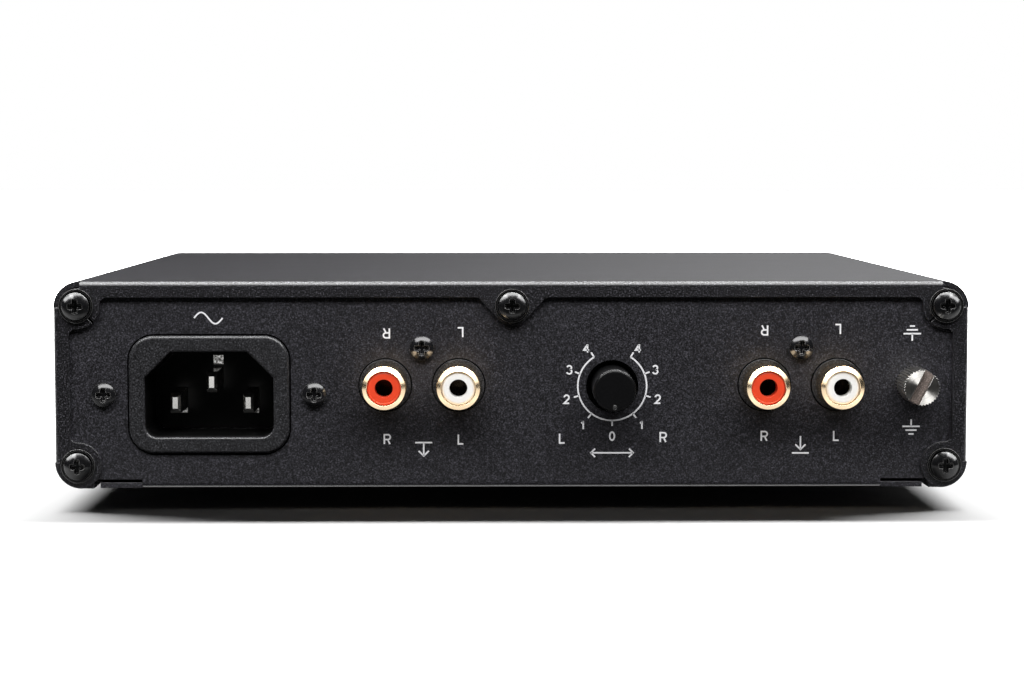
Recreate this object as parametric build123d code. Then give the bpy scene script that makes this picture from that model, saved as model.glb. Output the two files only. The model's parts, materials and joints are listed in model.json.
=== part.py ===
from build123d import *
import os
from math import acos, atan2, cos, hypot, pi, sin

# Frame: X to the right as seen from the rear, Y towards the front panel, Z up.
# The origin lies on the ground under the middle of the unit. Lengths are in mm.

# Body
body_w = 174.0  # over the cover's sides
body_h = 39.5  # cover height, feet not included
body_d = 149.0  # cover's rear edge to the front panel's face
corner_r = 5.0  # outer corner radius of the cover and the front panel
cover_t = 1.0
chassis_t = 1.0
sheet_gap = 0.4  # chassis sheet to the inside of the cover
press_gap = 0.02  # between pieces that are pressed or moulded together
run_gap = 0.05  # radial, between a turning or sliding piece and its hole
screw_gap = 0.05  # radial, between a thread and its tapped hole
pass_gap = 0.2  # radial, between a screw and the hole it passes through

# Feet
foot_h = 4.0
foot_top_r = 8.0
foot_bottom_r = 7.2
foot_edge_r = 0.6
foot_recess_r = 3.8
foot_recess_h = 2.6
foot_side_inset = 30.0
foot_rear_inset = 40.0
foot_front_inset = 25.0

# Cover's rear frame
top_flange_d = 3.05
side_flange_d = 2.9
bend_r = 1.0
flange_fillet_r = 1.3
ear_r = 4.4
corner_lug_r = 3.6
corner_lug_gap = 0.25
corner_setback = 0.3  # cut corner of the sheet behind the flange's face
ear_split_w = 0.5
tab_tip_r = 3.65
tab_root_w = 12.9
lip_gap = 1.1  # between the base's edge and the cover's lip

# Chassis
base_side = 8.4  # from the side of the cover to the edge of the base
base_flange_h = 7.0
base_flange_inset = 3.0
relief_h = 0.6  # slot between the base and the rear panel beside the bend
relief_w = 8.0  # slot length at each end of the bend

# Screws
screw_d = 3.0
pan_head_d = 5.2
pan_head_h = 1.9
small_head_d = 4.6
small_head_h = 1.7
head_rim_h = 0.9  # straight side of a head, below its dome
recess_w = 0.5  # width of an arm at the recess floor
recess_span = 2.3  # across the arms at the recess floor
recess_depth = 1.1
recess_flare = 16.0  # lean of the recess walls, in degrees
recess_corner_r = 0.3
sheet_screw_l = 6.0
foot_screw_l = 5.0
socket_screw_l = 8.0
inlet_screw_l = 9.0
board_screw_l = 6.0
panel_screw_l = 5.0
nut_af = 5.5
nut_h = 2.4

# Cover screws and their cup washers
cover_screw_side = 4.4
cover_screw_top = 4.65
cover_screw_bottom = 4.35
washer_r = 3.25
washer_h = 0.6
washer_rim_w = 0.4
washer_floor_h = 0.25

# Front panel
front_panel_t = 4.0
front_step_d = 2.0
front_step_gap = 0.3
front_edge_r = 0.6
front_screw_side = 11.0
front_screw_z = 8.5
front_screw_depth = 4.4

# Power button and switch
button_side = 25.0
button_r = 5.0
button_reach = 1.0
button_edge_r = 0.5
button_flange_r = 6.2
button_flange_t = 1.0
button_travel = 1.2
button_stem_r = 2.0
button_pocket_r = 6.6
button_pocket_d = 3.2
button_rest_gap = 0.05
stem_hole_r = 3.0
plunger_r = 1.7
plunger_reach = 1.6
plunger_l = 3.4
switch_w = 6.0
switch_d = 3.6
light_spacing = 14.0
light_r = 1.25
light_reach = 0.2
light_foot_r = 2.4
light_foot_t = 1.0

# Boards
standoff_h = 7.0
standoff_r = 2.8
board_t = 1.6
board_edge_gap = 1.0
board_corner_r = 1.5
board_side = 13.0  # from the side of the cover to the edge of a board
board_front_gap = 5.65  # from the main board to the upright front board
board_split = 4.0  # between the main board and the supply board
main_margin = 3.0  # main board beyond the output sockets' body
supply_rear_gap = 2.75  # from the inlet's tabs to the supply board
board_hole_inset = 4.0
front_board_w = 34.0
front_board_low = 6.5
front_board_h = 25.0
front_standoff_l = 4.0
front_hole_inset = 3.2

# Mains inlet
inlet_side = 29.3  # from the side of the cover to the middle of the inlet
inlet_z = 17.9  # above the base's underside, as all heights of rear fittings
shroud_w = 30.5
shroud_h = 22.5
shroud_r = 4.8
shroud_proud = 0.8
shroud_edge_r = 0.6
shroud_gap = 0.3
inlet_flange_t = 2.4
inlet_flange_h = 25.4
inlet_flange_over = 1.2
inlet_screw_pitch = 40.0
inlet_ear_r = 5.0
housing_w = 28.0
housing_h = 20.0
housing_r = 3.0
housing_l = 17.0
recess_floor_t = 3.0
cavity_w = 24.5
cavity_h = 16.3
cavity_chamfer = 5.0
cavity_r = 2.4
cavity_lip_r = 0.4
pin_w = 2.0
pin_h = 4.0
pin_side = 7.0
pin_drop = 2.0
pin_tip_depth = 4.6
pin_side_taper = 0.5
pin_end_taper = 0.9
tab_t = 0.8
tab_l = 7.0
lead_r = 1.1
lead_run = 7.0
lead_bend_r = 5.0

# Phono sockets
output_spacing = 40.5  # from the inlet to the output pair
input_side = 31.85  # from the side of the cover to the input pair
socket_z = 19.66
socket_pitch = 14.0
socket_screw_z = 26.8
socket_body_w = 26.0
socket_body_d = 12.0
socket_body_h = 20.5
socket_body_r = 0.8
collar_r = 4.9
collar_proud = 0.4
collar_gap = 0.25
shell_r = 4.15
shell_wall = 0.95
shell_reach = 7.4
shell_edge_r = 0.4
shell_edge_share = 0.45  # largest rounding of the mouth, as a share of the wall
shell_tail_step = 0.25  # the seated part is this much smaller in radius
shell_shoulder_gap = 0.1
shell_seat = 5.0  # how far the shell and the insulator reach into the body
insulator_inset = 0.4
insulator_bore_r = 1.7
insulator_edge_r = 0.6
contact_r = 2.2
contact_bore_r = 1.65
contact_inset = 3.4
contact_seat = 9.0
contact_slot_w = 0.5

# Balance control
balance_spacing = 36.3  # from the output pair to the balance control
balance_z = 19.4
knob_r = 4.0
knob_reach = 9.5
knob_edge_r = 0.5
knob_hole_r = 5.0
knob_tail = 1.5  # knob length behind the rear panel
knob_face_t = 1.6
knob_dot_r = 0.4
knob_dot_offset = 3.0
knob_dot_depth = 0.2
shaft_r = 3.0
shaft_flat = 2.3
shaft_end_gap = 0.3
bush_r = 3.8
bush_gap = 0.5
bush_l = 2.0
pot_w = 9.8
pot_d = 6.5
pot_wall = 1.8
rotor_r = 4.0
rotor_t = 1.4
rotor_gap = 0.15
pot_cover_t = 1.2

# Ground terminal
ground_side = 10.3  # from the side of the cover to the ground terminal
ground_z = 19.85
thumb_r = 3.4
thumb_l = 8.9
thumb_gap = 0.1
knurl_count = 36
knurl_depth = 0.22
thumb_chamfer = 0.3
thumb_slot_w = 2.0
thumb_slot_depth = 1.8
thumb_slot_tilt = 27.0
ground_thread_r = 2.0
ground_hole_gap = 0.3
ground_tag_t = 0.5
ground_tag_r = 3.8
ground_tag_w = 3.0
ground_tag_l = 6.2
ground_nut_af = 7.0
ground_nut_h = 3.2
ground_travel = 2.8
clip_gap = 0.3
clip_t = 0.5
clip_r = 3.0
clip_groove_r = 1.5
clip_side_gap = 0.05
clip_mouth_w = 2.2
thread_tail = 1.0
ground_lead_r = 0.75
ground_lead_run = 4.0
ground_lead_bend_r = 2.5

# Components on the boards: width, depth and height
film_capacitor_size = (13.0, 5.0, 11.0)
film_capacitor_rows = (48.75, 60.75)  # from the rear panel
output_film_shift = 5.2  # from the middle of the output pair
input_film_shift = 10.15  # from the middle of the input pair
chip_size = (5.0, 6.2, 1.7)
chip_pair_row = 38.75  # from the rear panel
chip_pair_pitch = 14.0
chip_row = 76.75  # from the rear panel
core_w = 20.0
core_d = 6.0
core_h = 18.0
core_leg_w = 5.0
core_yoke_t = 3.0
core_side = 19.0  # from the left edge of the supply board
core_row = 66.0  # from the rear edge of the supply board, as the next rows
winding_gap = 0.15
winding_t = 3.6
capacitor_side = 12.0
capacitor_row = 44.0
capacitor_r = 6.25
capacitor_h = 20.0
capacitor_edge_r = 0.6
fuse_side = 7.8  # from the right edge of the supply board
fuse_row = 24.0
fuse_r = 2.6
fuse_l = 20.0
heatsink_side = 5.3  # from the right edge of the supply board
heatsink_row = 45.0
heatsink_size = (3.0, 18.0, 18.0)
heatsink_fin_w = 1.2
heatsink_fin_count = 5
link_l = 10.0
link_h = 5.0
link_front = 16.0  # from the front edge of the boards
link_overlap = 3.5
front_link_w = 14.0
front_link_seat = 6.0

# Heights
base_z = foot_h
top_z = base_z + body_h
floor_z = base_z + chassis_t
board_z = floor_z + standoff_h
board_top = board_z + board_t
socket_axis_z = base_z + socket_z
balance_axis_z = base_z + balance_z
ground_axis_z = base_z + ground_z
inlet_axis_z = base_z + inlet_z
button_z = base_z + body_h / 2

# Places along Y
rear_reach = max(shell_reach, knob_reach, thumb_l + thumb_gap) - cover_t
cover_rear_y = rear_reach - (rear_reach + body_d + button_reach) / 2
front_y = cover_rear_y + body_d
panel_y = cover_rear_y + cover_t
panel_in_y = panel_y + chassis_t
front_panel_y = front_y - front_panel_t
front_step_y = front_panel_y - front_step_d
front_in_y = front_step_y - chassis_t
front_board_y = front_in_y - front_standoff_l
front_board_in_y = front_board_y - board_t
inlet_rear_y = panel_in_y + housing_l
tab_end_y = inlet_rear_y + tab_l
pot_y = panel_in_y + knob_tail + bush_gap + bush_l
pot_in_y = pot_y + pot_d
ground_nut_y = panel_in_y + ground_tag_t
clip_y = ground_nut_y + ground_nut_h + ground_travel + clip_gap
button_x = body_w / 2 - button_side
light_x = button_x - light_spacing
inlet_x = inlet_side - body_w / 2
output_x = inlet_x + output_spacing
balance_x = output_x + balance_spacing
input_x = body_w / 2 - input_side
ground_x = body_w / 2 - ground_side
main_left = output_x - socket_body_w / 2 - main_margin
main_right = body_w / 2 - board_side
main_front = front_board_in_y - board_front_gap
supply_left = board_side - body_w / 2
supply_right = main_left - board_split
supply_rear = tab_end_y + supply_rear_gap
supply_front = main_front
base_w = body_w - 2 * base_side
lip_end_x = base_w / 2 + lip_gap
relief_x = base_w / 2 - relief_w
shell_bore_r = shell_r - shell_wall
shell_tail_r = shell_r - shell_tail_step
tiny = 0.001


def block(x0, x1, y0, y1, z0, z1):
    """Box between two opposite corners."""
    middle = Pos((x0 + x1) / 2, (y0 + y1) / 2, (z0 + z1) / 2)
    return middle * Box(x1 - x0, y1 - y0, z1 - z0)


def rod_y(r, x, z, y0, y1):
    """Cylinder along Y."""
    return Pos(x, (y0 + y1) / 2, z) * Rot(90, 0, 0) * Cylinder(r, y1 - y0)


def rod_z(r, x, y, z0, z1):
    """Cylinder along Z."""
    return Pos(x, y, (z0 + z1) / 2) * Cylinder(r, z1 - z0)


def slab(outline, y0, y1):
    """Outline drawn in X and Z, between two places along Y."""
    plane = Plane(origin=(0, y1, 0), x_dir=(1, 0, 0), z_dir=(0, -1, 0))
    return extrude(plane * outline, amount=y1 - y0)


def edges_at_y(piece, y):
    """Edges that lie wholly at one place along Y."""
    return piece.edges().filter_by_position(Axis.Y, y - tiny, y + tiny)


def outer_edges_at_y(piece, y, r, x, z):
    """Round edges at one place along Y that have a given radius about an axis along Y."""
    found = []
    for edge in edges_at_y(piece, y).filter_by(GeomType.CIRCLE):
        centre = edge.arc_center
        if abs(edge.radius - r) < tiny and hypot(centre.X - x, centre.Z - z) < tiny:
            found.append(edge)
    return found


def group(pieces):
    """Separate solids that share one node."""
    return Compound(children=[solid for piece in pieces for solid in piece.solids()])


# Screws, nuts and washers stand on Z with the bearing face at zero and the head above it.

def cross_recess(top):
    """Cross with rounded inner corners that narrows towards its floor."""
    arm = Rectangle(recess_span, recess_w)
    cross = arm + Rot(0, 0, 90) * arm
    inner = cross.vertices().sort_by(lambda corner: hypot(corner.X, corner.Y))[:4]
    cross = fillet(inner, recess_corner_r)
    cut = extrude(cross, amount=recess_depth, taper=-recess_flare)
    return Pos(0, 0, top - recess_depth) * cut


def pan_screw(head_d, head_h, length):
    """Cross-recess screw with a domed head."""
    head_r = head_d / 2
    rise = head_h - head_rim_h
    dome_r = (head_r**2 + rise**2) / (2 * rise)
    dome = Pos(0, 0, head_h - dome_r) * Sphere(dome_r)
    head = rod_z(head_r, 0, 0, 0, head_h) & dome
    shank = rod_z(screw_d / 2, 0, 0, -length, 0)
    return head + shank - cross_recess(head_h)


def hex_nut(across_flats, height, hole_r):
    """Nut above the bearing face."""
    nut = extrude(RegularPolygon(across_flats / 2, 6, major_radius=False), amount=height)
    return nut - rod_z(hole_r, 0, 0, -height, 2 * height)


def cup_washer():
    """Dished washer with a raised rim."""
    hole_r = screw_d / 2 + pass_gap
    disc = rod_z(washer_r, 0, 0, 0, washer_h)
    dish = rod_z(washer_r - washer_rim_w, 0, 0, washer_floor_h, 2 * washer_h)
    return disc - dish - rod_z(hole_r, 0, 0, -washer_h, 2 * washer_h)


def facing_rear(x, y, z):
    """Place whose local Z points to the rear."""
    return Pos(x, y, z) * Rot(90, 0, 0)


def facing_front(x, y, z):
    """Place whose local Z points to the front."""
    return Pos(x, y, z) * Rot(-90, 0, 0)


# Shared outlines and places

def body_outline(inset):
    outline = RectangleRounded(body_w - 2 * inset, body_h - 2 * inset, corner_r - inset)
    return Pos(0, base_z + body_h / 2) * outline


def corner_screw_places():
    x = body_w / 2 - cover_screw_side
    low = base_z + cover_screw_bottom
    high = top_z - cover_screw_top
    return [(-x, low), (x, low), (-x, high), (x, high)]


def cover_screw_places():
    return corner_screw_places() + [(0, top_z - cover_screw_top)]


def foot_places():
    x = body_w / 2 - foot_side_inset
    rear = cover_rear_y + foot_rear_inset
    front = front_y - foot_front_inset
    return {
        "foot_rear_left": (-x, rear),
        "foot_rear_right": (x, rear),
        "foot_front_left": (-x, front),
        "foot_front_right": (x, front),
    }


def front_screw_places():
    x = body_w / 2 - front_screw_side
    return [(side * x, z) for side in (-1, 1) for z in (base_z + front_screw_z, top_z - front_screw_z)]


def inlet_screw_places():
    return [(inlet_x + side * inlet_screw_pitch / 2, inlet_axis_z) for side in (-1, 1)]


def socket_pair_places(pair_x):
    return [(pair_x + side * socket_pitch / 2, socket_axis_z) for side in (-1, 1)]


def socket_screw_places():
    return [(x, base_z + socket_screw_z) for x in (output_x, input_x)]


def main_hole_places():
    left = main_left + board_hole_inset
    right = main_right - board_hole_inset
    rear = panel_in_y + socket_body_d + board_hole_inset
    front = main_front - board_hole_inset
    return [(x, y) for x in (left, right) for y in (rear, (rear + front) / 2, front)]


def supply_hole_places():
    left = supply_left + board_hole_inset
    right = supply_right - board_hole_inset
    rear = supply_rear + board_hole_inset
    front = supply_front - board_hole_inset
    return [(x, y) for x in (left, right) for y in (rear, front)]


def front_board_left():
    return (button_x + light_x) / 2 - front_board_w / 2


def front_hole_places():
    left = front_board_left() + front_hole_inset
    right = front_board_left() + front_board_w - front_hole_inset
    z = base_z + front_board_low + front_board_h - front_hole_inset
    return [(left, z), (right, z)]


# Cover

def centre_tab():
    """Tab of the top flange that narrows to a round tip about the middle screw."""
    screw_z = top_z - cover_screw_top
    root_x = tab_root_w / 2
    root_z = top_z - top_flange_d
    reach = hypot(root_x, root_z - screw_z)
    angle = atan2(root_z - screw_z, root_x) - acos(tab_tip_r / reach)
    touch_x = tab_tip_r * cos(angle)
    touch_z = screw_z + tab_tip_r * sin(angle)
    root = top_z - cover_t
    sides = Polygon(
        (-root_x, root), (-root_x, root_z), (-touch_x, touch_z), (touch_x, touch_z),
        (root_x, root_z), (root_x, root), align=None,
    )
    return sides + Pos(0, screw_z) * Circle(tab_tip_r)


def cover_window():
    """Opening of the rear frame, through which the rear panel shows."""
    half_w = body_w / 2 - side_flange_d
    top = top_z - top_flange_d
    bottom = base_z - corner_r
    window = Pos(0, (top + bottom) / 2) * Rectangle(2 * half_w, top - bottom)
    for x, z in corner_screw_places():
        window -= Pos(x, z) * Circle(ear_r)
    window -= centre_tab()
    corners = [
        v for v in window.vertices()
        if v.Y > base_z + cover_screw_bottom
        and (abs(abs(v.X) - half_w) < tiny or abs(v.Y - top) < tiny)
    ]
    return fillet(corners, flange_fillet_r)


def cover_frame():
    """Outline of the rear flange with its ears and tab."""
    frame = body_outline(0) - cover_window()
    high = top_z - cover_screw_top
    inside = body_outline(cover_t + corner_lug_gap)
    for side in (-1, 1):
        screw = Pos(side * (body_w / 2 - cover_screw_side), high)
        corner_x = side * (body_w - corner_r) / 2
        corner = Pos(corner_x, top_z - corner_r / 2) * Rectangle(corner_r, corner_r)
        lug = screw * Circle(corner_lug_r) & corner & inside
        split = screw * Rot(0, 0, side * 45) * Rectangle(4 * ear_r, ear_split_w)
        frame = frame - corner + lug - split
    for x, z in cover_screw_places():
        frame -= Pos(x, z) * Circle(screw_d / 2 + pass_gap)
    return frame


def bend_rounding_top():
    """What the bend's radius takes off the edge between the top and its flange."""
    length = body_w - 2 * corner_r
    edge = block(-length / 2, length / 2, cover_rear_y, cover_rear_y + bend_r, top_z - bend_r, top_z)
    round_bar = Rot(0, 90, 0) * Cylinder(bend_r, length)
    return edge - Pos(0, cover_rear_y + bend_r, top_z - bend_r) * round_bar


def bend_rounding_side(side):
    """What the bend's radius takes off the edge between a side and its flange."""
    low = base_z + corner_r
    high = top_z - corner_r
    outer = side * body_w / 2
    inner = side * (body_w / 2 - bend_r)
    edge = block(min(outer, inner), max(outer, inner), cover_rear_y, cover_rear_y + bend_r, low, high)
    return edge - rod_z(bend_r, inner, cover_rear_y + bend_r, low, high)


def top_cover():
    sheet = body_outline(0) - body_outline(cover_t)
    mouth = Pos(0, base_z) * Rectangle(2 * lip_end_x, 3 * cover_t)
    sleeve = slab(sheet - mouth, cover_rear_y + corner_setback, front_panel_y)
    cover = sleeve + slab(cover_frame(), cover_rear_y, panel_y)
    cover -= bend_rounding_top()
    for side in (-1, 1):
        cover -= bend_rounding_side(side)
    return cover


# Chassis

def upright_outline():
    """Rear panel or front flange, with the slots beside its bend."""
    foot = base_z + chassis_t + relief_h
    upright = body_outline(cover_t + sheet_gap)
    upright -= Pos(0, base_z) * Rectangle(body_w, 2 * (foot - base_z))
    return upright + Pos(0, (base_z + foot + chassis_t) / 2) * Rectangle(
        2 * relief_x, foot + chassis_t - base_z
    )


def rear_panel_holes():
    holes = shroud_outline(shroud_gap)
    for x, z in inlet_screw_places() + socket_screw_places():
        holes += Pos(x, z) * Circle(screw_d / 2 + pass_gap)
    for x, z in socket_pair_places(output_x) + socket_pair_places(input_x):
        holes += Pos(x, z) * Circle(collar_r + collar_gap)
    for x, z in cover_screw_places():
        holes += Pos(x, z) * Circle(screw_d / 2 + screw_gap)
    holes += Pos(balance_x, balance_axis_z) * Circle(knob_hole_r)
    holes += Pos(ground_x, ground_axis_z) * Circle(ground_thread_r + ground_hole_gap)
    return holes


def front_flange_holes():
    holes = Pos(button_x, button_z) * Circle(stem_hole_r)
    holes += Pos(light_x, button_z) * Circle(light_r + pass_gap)
    for x, z in front_screw_places():
        holes += Pos(x, z) * Circle(screw_d / 2 + pass_gap)
    return holes


def bend_rounding(y, towards):
    """What the bend's radius takes off the lower edge of an upright."""
    inner = y + towards * bend_r
    edge = block(-relief_x, relief_x, min(y, inner), max(y, inner), base_z, base_z + bend_r)
    round_bar = Rot(0, 90, 0) * Cylinder(bend_r, 2 * relief_x)
    return edge - Pos(0, inner, base_z + bend_r) * round_bar


def chassis():
    half_w = base_w / 2
    sheet = block(-half_w, half_w, panel_y, front_step_y, base_z, floor_z)
    sheet += slab(upright_outline() - rear_panel_holes(), panel_y, panel_in_y)
    sheet += slab(upright_outline() - front_flange_holes(), front_in_y, front_step_y)
    sheet -= bend_rounding(panel_y, 1)
    sheet -= bend_rounding(front_step_y, -1)
    flange_rear = panel_in_y + base_flange_inset
    flange_front = front_in_y - base_flange_inset
    for side in (-1, 1):
        inner = side * (half_w - chassis_t)
        outer = side * half_w
        low, high = min(inner, outer), max(inner, outer)
        sheet += block(low, high, flange_rear, flange_front, base_z, floor_z + base_flange_h)
    for x, y in foot_places().values():
        sheet -= rod_z(screw_d / 2 + screw_gap, x, y, base_z - chassis_t, floor_z + chassis_t)
    return sheet


def cover_screws():
    y = cover_rear_y - washer_floor_h
    screw = pan_screw(pan_head_d, pan_head_h, sheet_screw_l)
    return group([facing_rear(x, y, z) * screw for x, z in cover_screw_places()])


def cover_screw_washers():
    washer = cup_washer()
    return group([facing_rear(x, cover_rear_y, z) * washer for x, z in cover_screw_places()])


# Feet

def foot(x, y):
    """Rubber foot with a recess for its screw."""
    profile = Polygon((0, 0), (foot_bottom_r, 0), (foot_top_r, foot_h), (0, foot_h), align=None)
    rubber = revolve(Plane.XZ * profile, Axis.Z)
    rims = rubber.edges().filter_by(GeomType.CIRCLE).group_by(Axis.Z)
    rubber = fillet(rims[0], foot_edge_r)
    rubber -= rod_z(foot_recess_r, 0, 0, -foot_h, foot_recess_h)
    rubber -= rod_z(screw_d / 2 + pass_gap, 0, 0, -foot_h, 2 * foot_h)
    return Pos(x, y, 0) * rubber


def foot_screws():
    screw = Rot(180, 0, 0) * pan_screw(pan_head_d, pan_head_h, foot_screw_l)
    return group([Pos(x, y, foot_recess_h) * screw for x, y in foot_places().values()])


# Front panel and its controls

def front_panel():
    plate = slab(body_outline(0), front_panel_y, front_y)
    plate = fillet(edges_at_y(plate, front_y), front_edge_r)
    plate += slab(body_outline(cover_t + front_step_gap), front_step_y, front_panel_y)
    plate -= rod_y(button_r + run_gap, button_x, button_z, front_step_y, front_y)
    plate -= rod_y(button_pocket_r, button_x, button_z, front_step_y, front_step_y + button_pocket_d)
    plate -= rod_y(light_r + run_gap, light_x, button_z, front_step_y, front_y)
    for x, z in front_screw_places():
        plate -= rod_y(screw_d / 2 + screw_gap, x, z, front_step_y, front_step_y + front_screw_depth)
    return plate


def front_panel_screws():
    screw = pan_screw(pan_head_d, pan_head_h, panel_screw_l)
    return group([facing_rear(x, front_in_y, z) * screw for x, z in front_screw_places()])


def plunger_tip_y():
    return front_board_y + switch_d + plunger_reach


def power_button():
    """Round cap with a flange that holds it behind the front panel."""
    flange_y = front_step_y + button_pocket_d - button_rest_gap
    cap = rod_y(button_r, button_x, button_z, flange_y - button_flange_t, front_y + button_reach)
    cap = fillet(edges_at_y(cap, front_y + button_reach), button_edge_r)
    flange = rod_y(button_flange_r, button_x, button_z, flange_y - button_flange_t, flange_y)
    stem = rod_y(button_stem_r, button_x, button_z, plunger_tip_y(), flange_y)
    return cap + flange + stem


def power_switch_body():
    bore_y = plunger_tip_y() - plunger_l - button_travel - button_rest_gap
    half = switch_w / 2
    body = block(
        button_x - half, button_x + half, front_board_y, front_board_y + switch_d,
        button_z - half, button_z + half,
    )
    return body - rod_y(plunger_r + run_gap, button_x, button_z, bore_y, front_board_y + 2 * switch_d)


def power_switch_plunger():
    tip = plunger_tip_y()
    return rod_y(plunger_r, button_x, button_z, tip - plunger_l, tip)


def front_board():
    left = front_board_left()
    low = base_z + front_board_low
    board = block(
        left, left + front_board_w, front_board_in_y, front_board_y, low, low + front_board_h
    )
    for x, z in front_hole_places():
        board -= rod_y(screw_d / 2 + pass_gap, x, z, front_board_in_y - board_t, front_board_y + board_t)
    return board


def front_board_screws():
    screw = pan_screw(pan_head_d, pan_head_h, board_t + front_standoff_l - screw_gap)
    return group([facing_rear(x, front_board_in_y, z) * screw for x, z in front_hole_places()])


def light_pipe():
    """Clear rod that stands on the switch board and ends in the front panel."""
    rod = rod_y(light_r, light_x, button_z, front_board_y, front_y + light_reach)
    return rod + rod_y(light_foot_r, light_x, button_z, front_board_y, front_board_y + light_foot_t)


# Mains inlet

def shroud_outline(grow):
    outline = RectangleRounded(shroud_w + 2 * grow, shroud_h + 2 * grow, shroud_r + grow)
    return Pos(inlet_x, inlet_axis_z) * outline


def cavity_outline():
    """Recess for the mains connector: two cut corners above, two round ones below."""
    outline = Rectangle(cavity_w, cavity_h)
    outline = chamfer(outline.vertices().group_by(Axis.Y)[-1], cavity_chamfer)
    outline = fillet(outline.vertices().group_by(Axis.Y)[0], cavity_r)
    return Pos(inlet_x, inlet_axis_z) * outline


def inlet_flange_outline():
    bar = RectangleRounded(inlet_screw_pitch + 2 * inlet_ear_r, 2 * inlet_ear_r, inlet_ear_r - tiny)
    middle = RectangleRounded(shroud_w + 2 * inlet_flange_over, inlet_flange_h, shroud_r)
    return Pos(inlet_x, inlet_axis_z) * (bar + middle)


def pin_places():
    """Place of each inlet pin, seen from the rear."""
    low = inlet_axis_z - pin_drop
    return {
        "inlet_pin_line": (inlet_x - pin_side, low),
        "inlet_pin_neutral": (inlet_x + pin_side, low),
        "inlet_pin_earth": (inlet_x, inlet_axis_z + pin_drop),
    }


def cavity_mouth(body, face):
    """Edges about the mouth of the inlet's recess."""
    found = []
    for edge in edges_at_y(body, face):
        middle = edge.center()
        in_width = abs(middle.X - inlet_x) < cavity_w / 2 + tiny
        in_height = abs(middle.Z - inlet_axis_z) < cavity_h / 2 + tiny
        if in_width and in_height:
            found.append(edge)
    return found


def inlet_body():
    face = panel_y - shroud_proud
    floor = inlet_rear_y - recess_floor_t
    shroud = slab(shroud_outline(0), face, panel_in_y)
    shroud = fillet(edges_at_y(shroud, face), shroud_edge_r)
    housing = Pos(inlet_x, inlet_axis_z) * RectangleRounded(housing_w, housing_h, housing_r)
    body = shroud + slab(inlet_flange_outline(), panel_in_y, panel_in_y + inlet_flange_t)
    body += slab(housing, panel_in_y, inlet_rear_y)
    body -= slab(cavity_outline(), face, floor)
    body = fillet(cavity_mouth(body, face), cavity_lip_r)
    for x, z in inlet_screw_places():
        body -= rod_y(screw_d / 2 + pass_gap, x, z, panel_in_y, panel_in_y + inlet_flange_t)
    half_w = pin_w / 2 + press_gap
    half_h = pin_h / 2 + press_gap
    for x, z in pin_places().values():
        body -= block(x - half_w, x + half_w, floor, inlet_rear_y, z - half_h, z + half_h)
    return body


def inlet_pin(x, z):
    """Flat pin with a tapered tip, and the tab behind the inlet that it ends in."""
    tip_y = panel_y - shroud_proud + pin_tip_depth
    blade = block(x - pin_w / 2, x + pin_w / 2, tip_y, inlet_rear_y, z - pin_h / 2, z + pin_h / 2)
    blade = chamfer(edges_at_y(blade, tip_y).filter_by(Axis.X), pin_end_taper)
    blade = chamfer(edges_at_y(blade, tip_y).filter_by(Axis.Z), pin_side_taper)
    tab = block(x - tab_t / 2, x + tab_t / 2, inlet_rear_y, tab_end_y, z - pin_h / 2, z + pin_h / 2)
    return blade + tab


def inlet_screws():
    screw = pan_screw(small_head_d, small_head_h, inlet_screw_l)
    return group([facing_rear(x, panel_y, z) * screw for x, z in inlet_screw_places()])


def inlet_nuts():
    nut = hex_nut(nut_af, nut_h, screw_d / 2 + screw_gap)
    y = panel_in_y + inlet_flange_t
    return group([facing_front(x, y, z) * nut for x, z in inlet_screw_places()])


def bent_lead(start, run, drop_to, r, bend):
    """Round wire that leaves along Y and then turns down."""
    x, y, z = start
    path = FilletPolyline((x, y, z), (x, y + run, z), (x, y + run, drop_to), radius=bend)
    section = Plane(origin=start, x_dir=(1, 0, 0), z_dir=(0, 1, 0)) * Circle(r)
    return sweep(section, path)


def mains_leads():
    leads = []
    for x, z in pin_places().values():
        leads.append(bent_lead((x, tab_end_y, z), lead_run, board_top, lead_r, lead_bend_r))
    return group(leads)


# Phono sockets

def socket_tip_y():
    return panel_y - shell_reach


def socket_body(pair_x):
    """Moulding that carries two sockets and stands on the main board."""
    half_w = socket_body_w / 2
    rear = panel_in_y + socket_body_d
    body = block(pair_x - half_w, pair_x + half_w, panel_in_y, rear, board_top, board_top + socket_body_h)
    body = fillet(body.edges().filter_by(Axis.Y), socket_body_r)
    seat_y = panel_in_y + shell_seat
    for x, z in socket_pair_places(pair_x):
        body += rod_y(collar_r, x, z, panel_y - collar_proud, panel_in_y)
    for x, z in socket_pair_places(pair_x):
        body -= rod_y(shell_tail_r + press_gap, x, z, panel_y - collar_proud, seat_y)
        body -= rod_y(contact_r + press_gap, x, z, seat_y, rear)
    screw_end = panel_y + socket_screw_l + screw_gap
    body -= rod_y(screw_d / 2 + screw_gap, pair_x, base_z + socket_screw_z, panel_in_y, screw_end)
    return body


def socket_shell(x, z):
    """Sleeve with a rounded mouth and a smaller part that is seated in the body."""
    tip = socket_tip_y()
    shoulder = panel_y - collar_proud - shell_shoulder_gap
    shell = rod_y(shell_r, x, z, tip, shoulder)
    shell += rod_y(shell_tail_r, x, z, shoulder, panel_in_y + shell_seat)
    shell -= rod_y(shell_bore_r, x, z, tip, panel_in_y + shell_seat)
    return fillet(edges_at_y(shell, tip), min(shell_edge_r, shell_edge_share * shell_wall))


def socket_insulator(x, z):
    face = socket_tip_y() + insulator_inset
    rear = panel_in_y + shell_seat
    step = socket_tip_y() + contact_inset
    r = shell_bore_r - press_gap
    ring = rod_y(r, x, z, face, rear)
    ring -= rod_y(insulator_bore_r, x, z, face, step)
    ring -= rod_y(contact_r + press_gap, x, z, step, rear)
    return fillet(outer_edges_at_y(ring, face, r, x, z), insulator_edge_r)


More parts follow.
